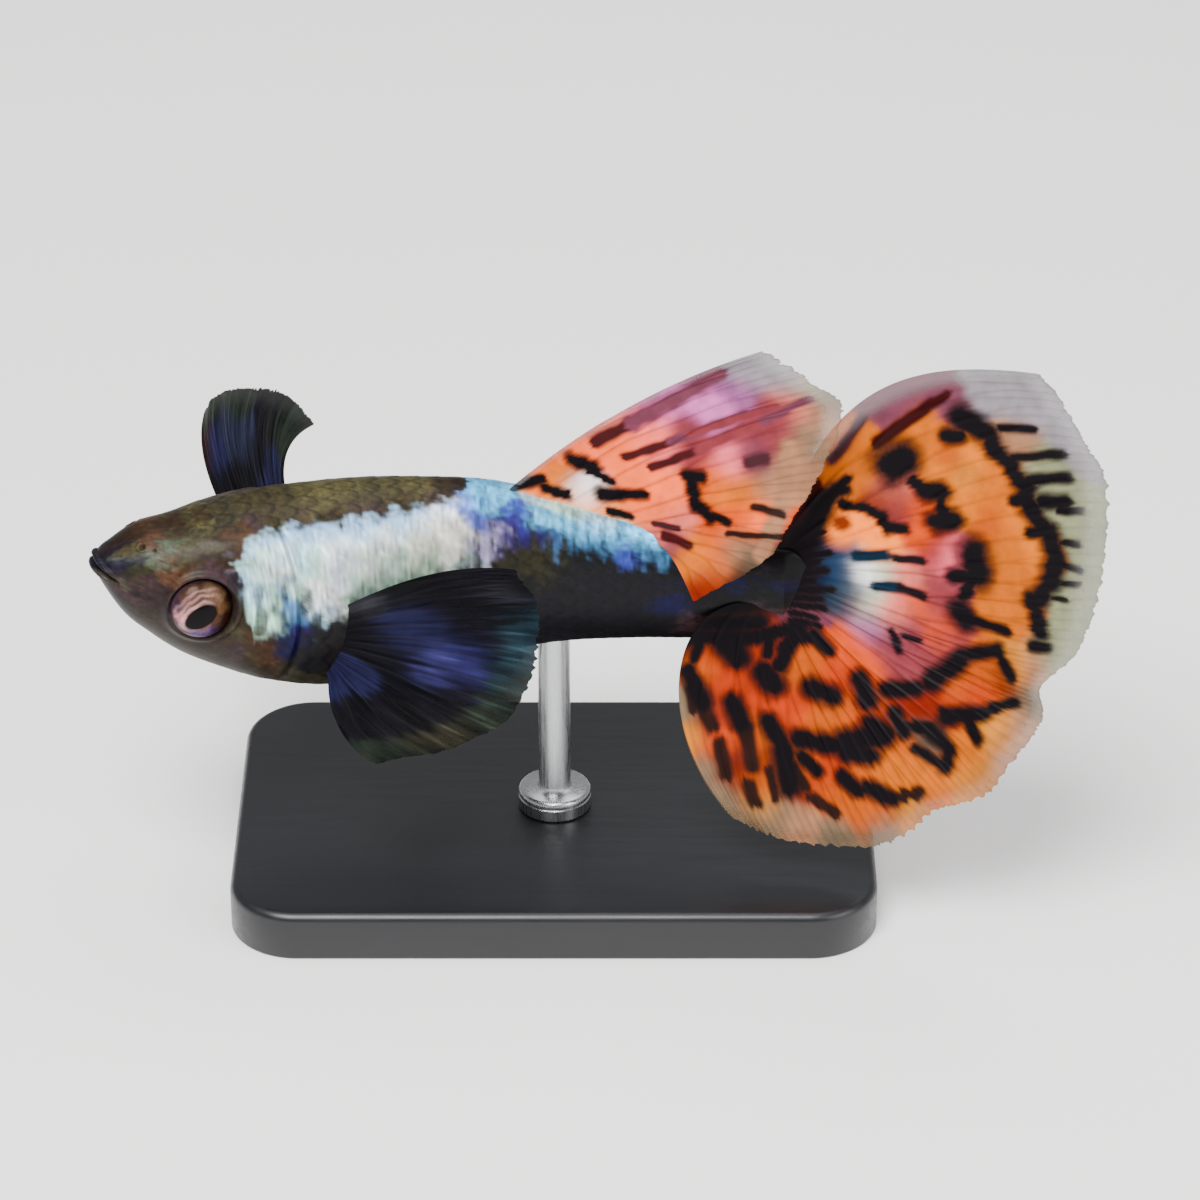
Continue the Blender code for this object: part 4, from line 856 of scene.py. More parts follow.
def caudal_surface(places, along):
    """Grid over the tail fin, laid out flat and then bent; along may differ from ray to ray."""
    rays = curve_through(CAUDAL_KEYS, places)
    root = np.stack([-0.5 - 1.5 * places ** 5, 1.15 - 2.75 * places + 0.6 * places ** 6], -1)
    points = [root] + [rays[:, k] for k in range(3)]
    knots = np.array([0.0, 1.0, 2.0, 3.0]) / 3.0
    flat = 0.0
    for k, point in enumerate(points):
        weight = np.ones_like(along)
        for m, knot in enumerate(knots):
            if m != k:
                weight = weight * (along - knot) / (knots[k] - knot)
        flat = flat + weight[..., None] * point[:, None]
    origin = axis_point(1.0)
    x = flat[..., 0]
    z = flat[..., 1]
    return np.stack([origin[0] + x, origin[1] + caudal_depth(x, z), origin[2] + CAUDAL_ROOT_UP + z], -1)


MOSAIC_PIGMENTS = {
    "root": "070609", "navy": "0A0E30", "slate_blue": "152C47", "deep_teal": "041C2C", "teal": "1B3844",
    "bone": "FCFCFC", "ash": "BBBE9E", "peach": "FF7E1C", "apricot": "CE6804", "amber": "B55704",
    "orange": "AA4604", "flame": "A52D04", "vermilion": "932704", "rust": "732604", "brick": "6E1504",
    "coral": "C23F04", "rose": "772D34", "blush": "CD6256", "pink": "EA6273", "orchid": "CB67A9",
    "mauve": "62303F", "dusk": "391B21", "wine": "2C0404", "plum": "120A10", "cocoa": "22100C",
    "tan": "AF691D", "sand": "926549", "khaki": "695743", "fog": "7F787E", "mist": "7B7E5F",
    "smoke": "39332A", "salmon": "FF6830", "lilac": "854976", "maroon": "3A1012",
}
# Place across the fin from its top, share of the ray, pigment
CAUDAL_NOTES = [
    (0.050, 0.345, "amber"), (0.060, 0.540, "amber"), (0.095, 0.560, "orange"), (0.105, 0.520, "apricot"),
    (0.120, 0.580, "tan"), (0.105, 0.630, "apricot"), (0.145, 0.560, "apricot"),
    (0.150, 0.610, "amber"), (0.140, 0.680, "amber"), (0.180, 0.645, "orange"),
    (0.180, 0.710, "apricot"), (0.210, 0.690, "amber"), (0.215, 0.760, "apricot"),
    (0.235, 0.740, "amber"), (0.275, 0.690, "amber"), (0.295, 0.740, "amber"), (0.115, 0.370, "rust"),
    (0.135, 0.370, "rose"), (0.140, 0.420, "coral"), (0.100, 0.400, "blush"), (0.175, 0.400, "coral"),
    (0.215, 0.440, "brick"), (0.225, 0.470, "pink"), (0.260, 0.440, "rose"), (0.245, 0.350, "blush"),
    (0.300, 0.450, "rose"), (0.250, 0.220, "bone"), (0.250, 0.270, "ash"), (0.262, 0.330, "blush"), (0.185, 0.270, "peach"), (0.200, 0.165, "slate_blue"), (0.265, 0.170, "slate_blue"), (0.335, 0.185, "teal"),
    (0.320, 0.220, "teal"), (0.030, 0.100, "wine"), (0.095, 0.780, "sand"), (0.130, 0.830, "mist"),
    (0.165, 0.860, "mist"), (0.020, 0.800, "fog"), (0.012, 0.550, "mauve"), (0.030, 0.680, "mauve"),
    (0.060, 0.850, "fog"), (0.100, 0.950, "fog"), (0.200, 0.950, "mist"), (0.280, 0.950, "mist"),
    (0.310, 0.400, "coral"), (0.330, 0.360, "blush"), (0.290, 0.735, "amber"), (0.330, 0.940, "mist"),
    (0.100, 0.125, "navy"), (0.080, 0.050, "root"), (0.160, 0.060, "root"), (0.220, 0.070, "root"), (0.290, 0.060, "root"), (0.350, 0.085, "root"), (0.420, 0.080, "root"), (0.180, 0.125, "slate_blue"), (0.250, 0.135, "slate_blue"),
    (0.300, 0.130, "navy"), (0.150, 0.020, "root"), (0.360, 0.270, "ash"), (0.375, 0.330, "blush"), (0.380, 0.160, "deep_teal"),
    (0.420, 0.200, "teal"), (0.350, 0.040, "root"), (0.360, 0.500, "coral"), (0.400, 0.430, "rose"),
    (0.440, 0.300, "lilac"), (0.998, 0.222, "root"), (0.983, 0.126, "root"), (0.850, 0.000, "root"),
    (0.491, 0.046, "root"), (0.913, 0.272, "root"), (0.902, 0.151, "root"), (1.000, 0.322, "root"),
    (0.603, 0.113, "mauve"), (0.611, 0.167, "brick"), (0.568, 0.259, "coral"), (0.561, 0.318, "coral"),
    (0.965, 0.335, "vermilion"), (0.841, 0.197, "vermilion"), (0.835, 0.276, "vermilion"),
    (0.968, 0.406, "orange"), (0.923, 0.431, "vermilion"), (0.881, 0.423, "vermilion"),
    (0.848, 0.456, "flame"), (0.803, 0.456, "flame"), (0.778, 0.335, "orange"),
    (0.710, 0.289, "orange"), (0.669, 0.343, "flame"), (0.568, 0.389, "coral"), (0.653, 0.402, "flame"),
    (0.711, 0.498, "orange"), (0.778, 0.527, "orange"), (0.818, 0.506, "flame"),
    (0.676, 0.561, "flame"), (0.583, 0.552, "brick"), (0.536, 0.628, "brick"), (0.614, 0.502, "rust"),
    (0.514, 0.469, "rose"), (0.466, 0.502, "rose"), (0.511, 0.389, "rose"), (0.377, 0.527, "rose"),
    (0.441, 0.285, "lilac"), (0.469, 0.356, "mauve"), (0.389, 0.402, "mauve"), (0.394, 0.222, "mauve"),
    (0.496, 0.669, "orange"), (0.429, 0.720, "orange"), (0.482, 0.741, "flame"), (0.419, 0.803, "rust"),
    (0.518, 0.703, "flame"), (0.369, 0.820, "tan"), (0.361, 0.895, "sand"), (0.329, 0.900, "mist"),
    (0.930, 0.561, "flame"), (0.917, 0.632, "coral"), (0.958, 0.686, "flame"), (0.907, 0.678, "maroon"),
    (0.873, 0.607, "orange"), (0.873, 0.690, "rust"), (0.885, 0.782, "orange"), (0.913, 0.791, "rust"),
    (0.932, 0.762, "brick"), (0.903, 0.870, "tan"), (0.880, 0.891, "khaki"), (0.830, 0.770, "brick"),
    (0.800, 0.745, "flame"), (0.770, 0.690, "flame"), (0.796, 0.791, "orange"),
    (0.818, 0.715, "orange"), (0.741, 0.741, "orange"), (0.778, 0.837, "orange"),
    (0.760, 0.870, "orange"), (0.811, 0.950, "khaki"), (0.853, 0.916, "sand"), (0.751, 0.946, "khaki"),
    (0.927, 0.958, "khaki"), (0.696, 0.782, "amber"), (0.658, 0.749, "amber"), (0.649, 0.828, "amber"),
    (0.649, 0.690, "orange"), (0.738, 0.887, "orange"), (0.710, 0.962, "tan"), (0.599, 0.728, "smoke"),
    (0.576, 0.845, "amber"), (0.631, 0.895, "amber"), (0.601, 0.937, "tan"), (0.556, 0.858, "amber"),
    (0.564, 0.937, "tan"), (0.528, 0.912, "tan"), (0.534, 0.971, "sand"), (0.499, 0.946, "sand"),
    (0.459, 0.962, "khaki"), (0.511, 0.866, "tan"), (0.993, 0.569, "khaki"), (0.993, 0.703, "tan"),
    (0.983, 0.795, "khaki"), (0.982, 0.904, "khaki"), (0.963, 0.958, "khaki"), (0.948, 0.598, "dusk"),
]
# Tinted strokes: pigment, place and distance of both ends, half width
CAUDAL_TINTS = [
    ("peach", 0.115, 0.205, 0.115, 0.215, 0.85), ("rust", 0.115, 0.205, 0.115, 0.215, 0.34),
    ("wine", 0.045, 0.415, 0.033, 0.620, 0.28), ("wine", 0.033, 0.620, 0.028, 0.680, 0.20),
    ("dusk", 0.028, 0.270, 0.015, 0.420, 0.24), ("deep_teal", 0.200, 0.200, 0.205, 0.280, 0.30),
    ("plum", 0.212, 0.310, 0.220, 0.390, 0.20), ("deep_teal", 0.285, 0.260, 0.275, 0.330, 0.24),
    ("plum", 0.275, 0.330, 0.285, 0.410, 0.20), ("cocoa", 0.895, 0.590, 0.896, 0.728, 0.30),
    ("cocoa", 0.960, 0.556, 0.947, 0.623, 0.26), ("cocoa", 0.942, 0.674, 0.945, 0.795, 0.26),
    ("cocoa", 0.910, 0.799, 0.910, 0.874, 0.26), ("cocoa", 0.823, 0.812, 0.798, 0.870, 0.26),
    ("cocoa", 0.699, 0.880, 0.672, 0.900, 0.34),
    ("plum", 0.434, 0.364, 0.486, 0.423, 0.21), ("plum", 0.427, 0.406, 0.416, 0.460, 0.13),
    ("mauve", 0.591, 0.109, 0.534, 0.197, 0.21), ("cocoa", 0.831, 0.699, 0.825, 0.774, 0.21),
    ("cocoa", 0.870, 0.720, 0.876, 0.833, 0.17), ("cocoa", 0.982, 0.502, 0.977, 0.582, 0.17),
]
# Black strokes: the spots and the scalloped bar of the upper half, with the streaks that run
# out from the bar along the rays; then the broken rows of the lower half
CAUDAL_STROKES = [
    (0.078, 0.067, 0.114, 0.151, 0.15), (0.109, 0.054, 0.130, 0.113, 0.15),
    (0.152, 0.042, 0.177, 0.134, 0.15), (0.219, 0.038, 0.209, 0.100, 0.15),
    (0.290, 0.038, 0.254, 0.117, 0.15), (0.369, 0.046, 0.312, 0.096, 0.15),
    (0.459, 0.050, 0.331, 0.155, 0.15), (0.534, 0.063, 0.431, 0.138, 0.15),
    (0.596, 0.075, 0.481, 0.159, 0.15), (0.651, 0.096, 0.559, 0.159, 0.15),
    (0.691, 0.121, 0.581, 0.188, 0.15), (0.229, 0.046, 0.100, 0.113, 0.64),
    (0.100, 0.113, 0.072, 0.188, 0.47), (0.072, 0.188, 0.060, 0.255, 0.30),
    (0.060, 0.255, 0.060, 0.289, 0.21), (1.000, 0.289, 0.915, 0.251, 0.34),
    (0.915, 0.251, 0.683, 0.159, 0.39), (0.913, 0.272, 0.905, 0.351, 0.30),
    (0.982, 0.293, 0.980, 0.381, 0.21), (0.830, 0.213, 0.840, 0.280, 0.21),
    (0.075, 0.410, 0.075, 0.450, 0.82), (0.122, 0.455, 0.130, 0.500, 0.47),
    (0.105, 0.445, 0.120, 0.460, 0.32), (0.140, 0.490, 0.150, 0.485, 0.19),
    (0.168, 0.455, 0.170, 0.510, 0.50), (0.155, 0.485, 0.165, 0.485, 0.37),
    (0.215, 0.565, 0.240, 0.570, 0.76), (0.245, 0.495, 0.245, 0.530, 0.37),
    (0.250, 0.560, 0.275, 0.535, 0.32), (0.300, 0.540, 0.310, 0.575, 0.53),
    (0.310, 0.600, 0.315, 0.730, 0.23), (0.058, 0.660, 0.075, 0.690, 0.55),
    (0.070, 0.585, 0.075, 0.620, 0.32), (0.080, 0.700, 0.100, 0.690, 0.44),
    (0.100, 0.690, 0.125, 0.725, 0.40), (0.125, 0.720, 0.150, 0.745, 0.42),
    (0.150, 0.750, 0.170, 0.755, 0.53), (0.165, 0.715, 0.165, 0.760, 0.29),
    (0.170, 0.760, 0.195, 0.800, 0.50), (0.198, 0.755, 0.200, 0.800, 0.26),
    (0.200, 0.820, 0.225, 0.850, 0.53), (0.225, 0.850, 0.250, 0.840, 0.53),
    (0.250, 0.830, 0.270, 0.810, 0.44), (0.270, 0.780, 0.280, 0.800, 0.40),
    (0.290, 0.810, 0.310, 0.845, 0.37), (0.330, 0.840, 0.330, 0.890, 0.26),
    (0.077, 0.740, 0.082, 0.840, 0.17), (0.115, 0.740, 0.115, 0.900, 0.21),
    (0.145, 0.770, 0.146, 0.890, 0.25), (0.170, 0.800, 0.172, 0.880, 0.32),
    (0.180, 0.860, 0.182, 0.930, 0.17), (0.210, 0.870, 0.212, 0.920, 0.15),
    (0.232, 0.880, 0.236, 0.935, 0.17), (0.250, 0.880, 0.252, 0.930, 0.14),
    (0.268, 0.860, 0.270, 0.900, 0.13), (0.055, 0.170, 0.060, 0.220, 0.32),
    (0.060, 0.220, 0.070, 0.270, 0.26), (0.085, 0.240, 0.110, 0.290, 0.23),
    (0.110, 0.290, 0.135, 0.310, 0.21), (0.135, 0.310, 0.155, 0.310, 0.29),
    (0.155, 0.320, 0.165, 0.360, 0.23), (0.942, 0.264, 0.903, 0.326, 0.49),
    (0.998, 0.222, 0.855, 0.134, 0.34), (0.853, 0.356, 0.835, 0.406, 0.49),
    (0.768, 0.222, 0.820, 0.326, 0.34), (0.791, 0.238, 0.726, 0.192, 0.34),
    (0.726, 0.192, 0.644, 0.205, 0.34), (0.644, 0.205, 0.636, 0.268, 0.30),
    (0.758, 0.397, 0.716, 0.435, 0.49), (0.618, 0.410, 0.644, 0.490, 0.45),
    (0.581, 0.490, 0.536, 0.561, 0.34), (0.511, 0.577, 0.424, 0.619, 0.45),
    (0.414, 0.611, 0.352, 0.724, 0.34), (0.364, 0.741, 0.411, 0.845, 0.24),
    (0.608, 0.582, 0.619, 0.649, 0.34), (0.613, 0.636, 0.574, 0.695, 0.24),
    (0.578, 0.699, 0.578, 0.791, 0.34), (0.579, 0.795, 0.606, 0.841, 0.34),
    (0.623, 0.720, 0.609, 0.828, 0.20), (0.546, 0.699, 0.511, 0.799, 0.39),
    (0.529, 0.778, 0.539, 0.849, 0.30), (0.508, 0.795, 0.467, 0.879, 0.24),
    (0.738, 0.615, 0.666, 0.636, 0.60), (0.673, 0.577, 0.654, 0.628, 0.45),
    (0.746, 0.653, 0.710, 0.690, 0.45), (0.811, 0.594, 0.760, 0.619, 0.45),
    (0.856, 0.540, 0.841, 0.615, 0.39), (0.841, 0.636, 0.848, 0.782, 0.45),
    (0.816, 0.653, 0.801, 0.715, 0.30), (0.912, 0.502, 0.900, 0.577, 0.39),
    (0.987, 0.435, 0.960, 0.540, 0.34), (0.768, 0.728, 0.756, 0.799, 0.34),
    (0.741, 0.795, 0.718, 0.866, 0.39),
]
places = np.linspace(0.0, 1.0, CAUDAL_COLUMNS)
along = np.linspace(0.0, 1.0, CAUDAL_ROWS)
line = np.stack([places * 60.0], -1)
# The margin is frayed a little all along, at random
fray = 1.0 - 0.006 * np.abs(mottle(line, 2.4, 31)) - 0.004 * np.abs(mottle(line, 0.8, 32))
surface = caudal_surface(places, along[None, :] * fray[:, None])
relief = ray_relief(surface, places, along, CAUDAL_RAYS, 0.115)
normal = fin_normals(surface, along)
waves = 0.16 * np.sin(places * 46.0 + 1.5 * np.sin(places * 9.0))[:, None] * fade(0.45, 1.0, along)[None, :]
waves = waves + 0.05 * mottle(np.stack(np.broadcast_arrays(places[:, None] * 30.0, along[None, :] * 6.0), -1), 3.0, 33)
frill = 0.9 + 0.8 * hump(0.47, 0.14, places)[:, None]
surface = surface + normal * (waves * frill * fade(0.1, 0.4, along)[None, :])[..., None]
across = places[:, None] + 0.0 * along[None, :]
down = 0.0 * places[:, None] + along[None, :]
fan = np.stack([across * 60.0, down * 5.0], -1)
feather = 0.0020 * mottle(fan, 1.6, 35) + 0.0012 * mottle(fan, 0.6, 36)
laid_at = caudal_surface(places, np.clip(down + feather, 0.0, 1.0))
laid_at = laid_at + 0.02 * np.stack([mottle(laid_at, 0.9, 37), mottle(laid_at, 0.9, 38), mottle(laid_at, 0.9, 39)], -1)
ground, ink = painted(laid_at, caudal_surface, CAUDAL_NOTES, 0.65, CAUDAL_TINTS, CAUDAL_STROKES)
clear = np.maximum(fade(0.86, 0.97, down), 0.9 * fade(0.030, 0.008, across))
clear = clear * (1.0 - 0.6 * fade(0.33, 0.42, across) * fade(0.985, 0.90, down))
mosaic_web = fin_web("mosaic_painted_resin_web", "0C080C", 0.62, 0.46)
tail = cast_fin("caudal_fin", surface, along, relief, 0.055, 0.19, 0.30,
                dict(ground=np.clip(ground, 0.0, 1.0), ink=ink, clear=clear), mosaic_web)

# Dorsal fin: one web of nine rays let into the back, swept to the rear and drooping over the
# left of the tail stalk. It carries the same mosaic, paler and pinker, with a clear beige margin.
DORSAL_SINK = 0.8
DORSAL_KEYS = [
    (0.578, (5.5, -1.0, 4.1), (11.3, -2.4, 7.6)),
    (0.634, (5.9, -1.3, 4.0), (11.6, -2.9, 6.9)),
    (0.681, (5.9, -1.6, 3.3), (11.5, -3.2, 6.1)),
    (0.722, (5.0, -1.9, 2.1), (9.6, -3.4, 3.9)),
    (0.755, (3.9, -2.1, 1.1), (7.4, -3.6, 1.9)),
    (0.781, (2.6, -2.2, 0.1), (5.4, -3.7, 0.0)),
    (0.801, (0.9, -2.1, -0.7), (1.8, -3.4, -2.0)),
]
DORSAL_NOTES = [
    (0.000, 0.029, "ash"), (0.000, 0.142, "salmon"), (0.083, 0.151, "apricot"), (0.254, 0.113, "bone"),
    (0.249, 0.071, "peach"), (0.124, 0.310, "salmon"), (0.244, 0.297, "salmon"),
    (0.327, 0.259, "salmon"), (0.369, 0.092, "peach"), (0.195, 0.406, "salmon"),
    (0.020, 0.272, "salmon"), (0.002, 0.406, "blush"), (0.092, 0.490, "pink"), (0.045, 0.577, "orchid"),
    (0.092, 0.669, "orchid"), (0.124, 0.762, "lilac"), (0.000, 0.774, "mauve"), (0.007, 0.586, "mauve"),
    (0.045, 0.883, "fog"), (0.015, 1.000, "fog"), (0.125, 0.958, "fog"), (0.219, 0.962, "mist"),
    (0.199, 0.636, "orchid"), (0.220, 0.510, "rose"), (0.294, 0.636, "rose"), (0.280, 0.791, "rose"),
    (0.260, 0.874, "blush"), (0.245, 0.385, "pink"), (0.337, 0.912, "sand"), (0.396, 0.962, "sand"),
    (0.311, 0.975, "khaki"), (0.416, 0.904, "khaki"), (0.471, 0.866, "sand"), (0.342, 0.469, "rose"),
    (0.416, 0.565, "pink"), (0.437, 0.674, "mauve"), (0.389, 0.757, "rose"), (0.509, 0.544, "apricot"),
    (0.563, 0.644, "amber"), (0.569, 0.770, "sand"), (0.538, 0.849, "sand"), (0.464, 0.502, "coral"),
    (0.689, 0.674, "coral"), (0.701, 0.833, "salmon"), (0.716, 0.954, "coral"),
    (0.509, 0.305, "salmon"), (0.401, 0.318, "salmon"), (0.579, 0.192, "salmon"),
    (0.679, 0.322, "blush"), (0.773, 0.565, "coral"), (0.893, 0.586, "apricot"),
    (0.896, 0.741, "orange"), (0.953, 0.628, "amber"), (0.973, 0.891, "brick"), (0.828, 0.745, "sand"),
    (0.820, 0.891, "khaki"), (0.823, 1.000, "smoke"), (0.885, 0.979, "cocoa"), (0.758, 1.000, "dusk"),
    (0.444, 0.205, "salmon"), (0.928, 0.335, "mauve"), (0.669, 0.000, "ash"), (0.830, 0.184, "blush"),
]
DORSAL_TINTS = [
    ("sand", 0.432, 0.816, 0.576, 0.874, 0.39), ("sand", 0.576, 0.866, 0.726, 0.925, 0.39),
    ("sand", 0.726, 0.925, 0.825, 0.950, 0.30),
    ("maroon", 0.200, 0.301, 0.230, 0.435, 0.17), ("mauve", 0.230, 0.435, 0.237, 0.703, 0.17),
    ("maroon", 0.302, 0.318, 0.317, 0.481, 0.17), ("rose", 0.314, 0.481, 0.294, 0.728, 0.21),
    ("mauve", 0.294, 0.728, 0.252, 0.925, 0.17), ("maroon", 0.057, 0.326, 0.070, 0.452, 0.21),
    ("mauve", 0.070, 0.452, 0.032, 0.824, 0.26), ("dusk", 0.437, 0.644, 0.441, 0.720, 0.26),
    ("maroon", 0.823, 0.226, 0.881, 0.473, 0.21), ("cocoa", 0.639, 0.728, 0.666, 0.929, 0.17),
    ("cocoa", 0.765, 0.657, 0.745, 1.000, 0.13), ("dusk", 0.673, 0.184, 0.748, 0.326, 0.13),
    ("rose", 0.230, 0.502, 0.249, 0.812, 0.13), ("plum", 0.674, 0.523, 0.694, 0.590, 0.17),
]
DORSAL_STROKES = [
    (0.000, 0.071, 0.060, 0.126, 0.17), (0.102, 0.092, 0.199, 0.092, 0.21),
    (0.080, 0.226, 0.165, 0.218, 0.30), (0.175, 0.197, 0.269, 0.197, 0.17),
    (0.306, 0.138, 0.359, 0.172, 0.26), (0.356, 0.172, 0.426, 0.234, 0.21),
    (0.426, 0.096, 0.534, 0.130, 0.13), (0.411, 0.402, 0.436, 0.452, 0.26),
    (0.441, 0.414, 0.588, 0.414, 0.30), (0.593, 0.427, 0.686, 0.506, 0.26),
    (0.659, 0.477, 0.710, 0.623, 0.17),
]
DORSAL_COLUMNS = 300
DORSAL_ROWS = 110
places = np.linspace(0.0, 1.0, DORSAL_COLUMNS)
along = np.linspace(0.0, 1.0, DORSAL_ROWS)
line = np.stack([places * 30.0], -1)
fray = 1.0 - 0.007 * np.abs(mottle(line, 2.0, 41)) - 0.005 * np.abs(mottle(line, 0.7, 42))


def dorsal_surface(places, along):
    """Grid over the dorsal fin; along may differ from ray to ray."""
    roots = body_skin(curve_through([key[0] for key in DORSAL_KEYS], places), math.pi / 2)
    middles = roots + curve_through([key[1] for key in DORSAL_KEYS], places)
    tips = roots + curve_through([key[2] for key in DORSAL_KEYS], places)
    return ray_points(roots - np.array((0.0, 0.0, DORSAL_SINK)), middles, tips, along)


surface = dorsal_surface(places, along[None, :] * fray[:, None])
relief = ray_relief(surface, places, along, 9, 0.12)
normal = fin_normals(surface, along)
waves = 0.13 * np.sin(places * 24.0)[:, None] * fade(0.35, 1.0, along)[None, :]
surface = surface + normal * waves[..., None]
across = places[:, None] + 0.0 * along[None, :]
down = 0.0 * places[:, None] + along[None, :]
fan = np.stack([across * 30.0, down * 5.0], -1)
feather = 0.0012 * mottle(fan, 1.6, 44) + 0.0008 * mottle(fan, 0.6, 45)
laid_at = dorsal_surface(places, np.clip(down + feather, 0.0, 1.0))
laid_at = laid_at + 0.02 * np.stack([mottle(laid_at, 0.9, 46), mottle(laid_at, 0.9, 47), mottle(laid_at, 0.9, 48)], -1)
ground, ink = painted(laid_at, dorsal_surface, DORSAL_NOTES, 0.70, DORSAL_TINTS, DORSAL_STROKES)
clear = np.maximum(fade(0.86, 0.97, down), 0.8 * fade(0.035, 0.01, across))
clear = clear * (1.0 - 0.8 * fade(0.42, 0.60, across))
dorsal = cast_fin("dorsal_fin", surface, along, relief, 0.055, 0.18, 0.26,
                  dict(ground=np.clip(ground, 0.0, 1.0), ink=ink, clear=clear), mosaic_web)

# Pectoral fins: the paddles behind the gill covers, each let into the flank by its narrow root.
# The left one sweeps back along the body and the right one stands up past the shoulder.
PECTORAL_SHARE = 0.315
PECTORAL_UP = -1.9
PECTORAL_OUT = 2.9
PECTORAL_SINK = 1.1
PECTORAL_RAYS = 13
PECTORAL_LEFT_KEYS = [
    ((4.1, -1.6, 4.7), (8.0, -2.0, 5.2)),
    ((4.8, -2.3, 3.4), (9.0, -3.0, 3.9)),
    ((4.8, -2.8, 1.8), (8.8, -3.9, 1.5)),
    ((4.1, -2.9, 0.1), (7.6, -4.2, -0.8)),
    ((2.6, -2.6, -1.2), (5.2, -3.8, -2.4)),
    ((0.4, -1.7, -2.6), (2.1, -2.6, -3.9)),
]
PECTORAL_RIGHT_KEYS = [
    ((-4.1, 5.0, 2.2), (-4.6, 8.5, 4.4)),
    ((-3.1, 4.6, 2.9), (-3.7, 7.6, 5.7)),
    ((-2.3, 4.0, 3.4), (-2.2, 6.2, 6.6)),
    ((-1.3, 3.2, 3.8), (-0.8, 4.6, 7.2)),
    ((-0.8, 2.4, 4.0), (0.7, 2.8, 6.6)),
]
DARK_PIGMENTS = {
    "slate": "08070B", "night": "050409", "indigo": "14142E", "blue": "1C1A40", "cobalt": "26244C",
    "steel": "161828", "teal": "14242C", "moss": "151B15", "bark": "1D1B13", "ash": "1F1F23",
    "rust": "170404",
}
PECTORAL_LEFT_NOTES = [
    (0.122, 0.021, "slate"), (0.000, 0.155, "ash"), (0.000, 0.423, "slate"), (0.000, 0.632, "slate"),
    (0.062, 0.820, "night"), (0.194, 0.862, "night"), (0.311, 0.908, "teal"), (0.412, 0.883, "teal"),
    (0.481, 0.958, "moss"), (0.601, 0.904, "moss"), (0.761, 0.891, "bark"), (0.982, 0.883, "moss"),
    (0.973, 0.414, "slate"), (1.000, 0.180, "indigo"), (0.763, 0.176, "indigo"),
    (0.381, 0.226, "night"), (0.257, 0.435, "indigo"), (0.482, 0.510, "cobalt"), (0.436, 0.657, "blue"),
    (0.656, 0.498, "night"), (0.569, 0.678, "slate"), (0.821, 0.590, "slate"), (0.289, 0.678, "night"),
    (0.140, 0.519, "slate"), (0.499, 0.335, "night"), (0.718, 0.665, "slate"), (0.202, 0.615, "night"),
    (0.357, 0.787, "night"), (0.364, 0.339, "indigo"),
]
PECTORAL_RIGHT_NOTES = [
    (0.05, 0.75, "rust"), (0.05, 0.40, "slate"), (0.17, 0.70, "indigo"), (0.30, 0.75, "steel"),
    (0.50, 0.68, "steel"), (0.40, 0.92, "moss"), (0.90, 0.80, "moss"), (0.80, 0.50, "indigo"),
    (0.70, 0.45, "indigo"), (0.40, 0.45, "slate"), (0.20, 0.45, "night"), (0.60, 0.60, "slate"),
    (0.70, 0.80, "slate"), (0.10, 0.93, "moss"), (0.95, 0.40, "indigo"), (0.50, 0.20, "night"),
]
dark_web = fin_web("dark_painted_resin_web", "0C0A10", 0.80, 0.52)
places = np.linspace(0.0, 1.0, 300)
along = np.linspace(0.0, 1.0, 90)
across = places[:, None] + 0.0 * along[None, :]
down = 0.0 * places[:, None] + along[None, :]
fan = np.stack([across * 40.0, down * 4.0], -1)
for side, label, keys, chord, notes in (
        (-1, "left", PECTORAL_LEFT_KEYS, (0.4, 0.0, -2.0), PECTORAL_LEFT_NOTES),
        (1, "right", PECTORAL_RIGHT_KEYS, (1.9, 0.0, 0.6), PECTORAL_RIGHT_NOTES)):
    centre = local_point(PECTORAL_SHARE, side * PECTORAL_OUT, PECTORAL_UP)
    sink = side_way(PECTORAL_SHARE) * side * PECTORAL_SINK
    line = np.stack([places * 30.0], -1)
    fray = 1.0 - 0.008 * np.abs(mottle(line, 2.0, 51 + side)) - 0.006 * np.abs(mottle(line, 0.8, 54 + side))
    surface = ray_points(centre - sink + (places[:, None] - 0.5) * np.array(chord),
                         centre + curve_through([key[0] for key in keys], places),
                         centre + curve_through([key[1] for key in keys], places),
                         along[None, :] * fray[:, None])
    relief = ray_relief(surface, places, along, PECTORAL_RAYS, 0.10)
    normal = fin_normals(surface, along)
    waves = 0.07 * np.sin(places * 30.0 + side)[:, None] * fade(0.3, 1.0, along)[None, :]
    surface = surface + normal * waves[..., None]
    mapped = np.stack([across * 9.0, down * 8.0], -1) + 0.12 * mottle(fan, 1.2, 57)[..., None]
    ground = paint(mapped, [((t * 9.0, r * 8.0), 0.7, name) for t, r, name in notes], DARK_PIGMENTS)
    lines = fade(0.5, 1.8, mottle(np.stack([across * 60.0, down * 2.0], -1), 1.3, 59))
    ground = ground * (1.0 + 1.1 * lines * fade(0.4, 0.8, down))[..., None]
    ground = ground * (1.0 + 0.28 * mottle(np.stack([across * 18.0, down * 1.5], -1), 0.8, 60))[..., None]
    clear = 0.12 * fade(0.30, 0.70, down) + 0.55 * fade(0.82, 1.0, down)
    fin = cast_fin("pectoral_fin_" + label, surface, along, relief, 0.045, 0.12, 0.22,
                   dict(ground=np.clip(ground, 0.0, 1.0), ink=0.0 * down, clear=clear), dark_web)
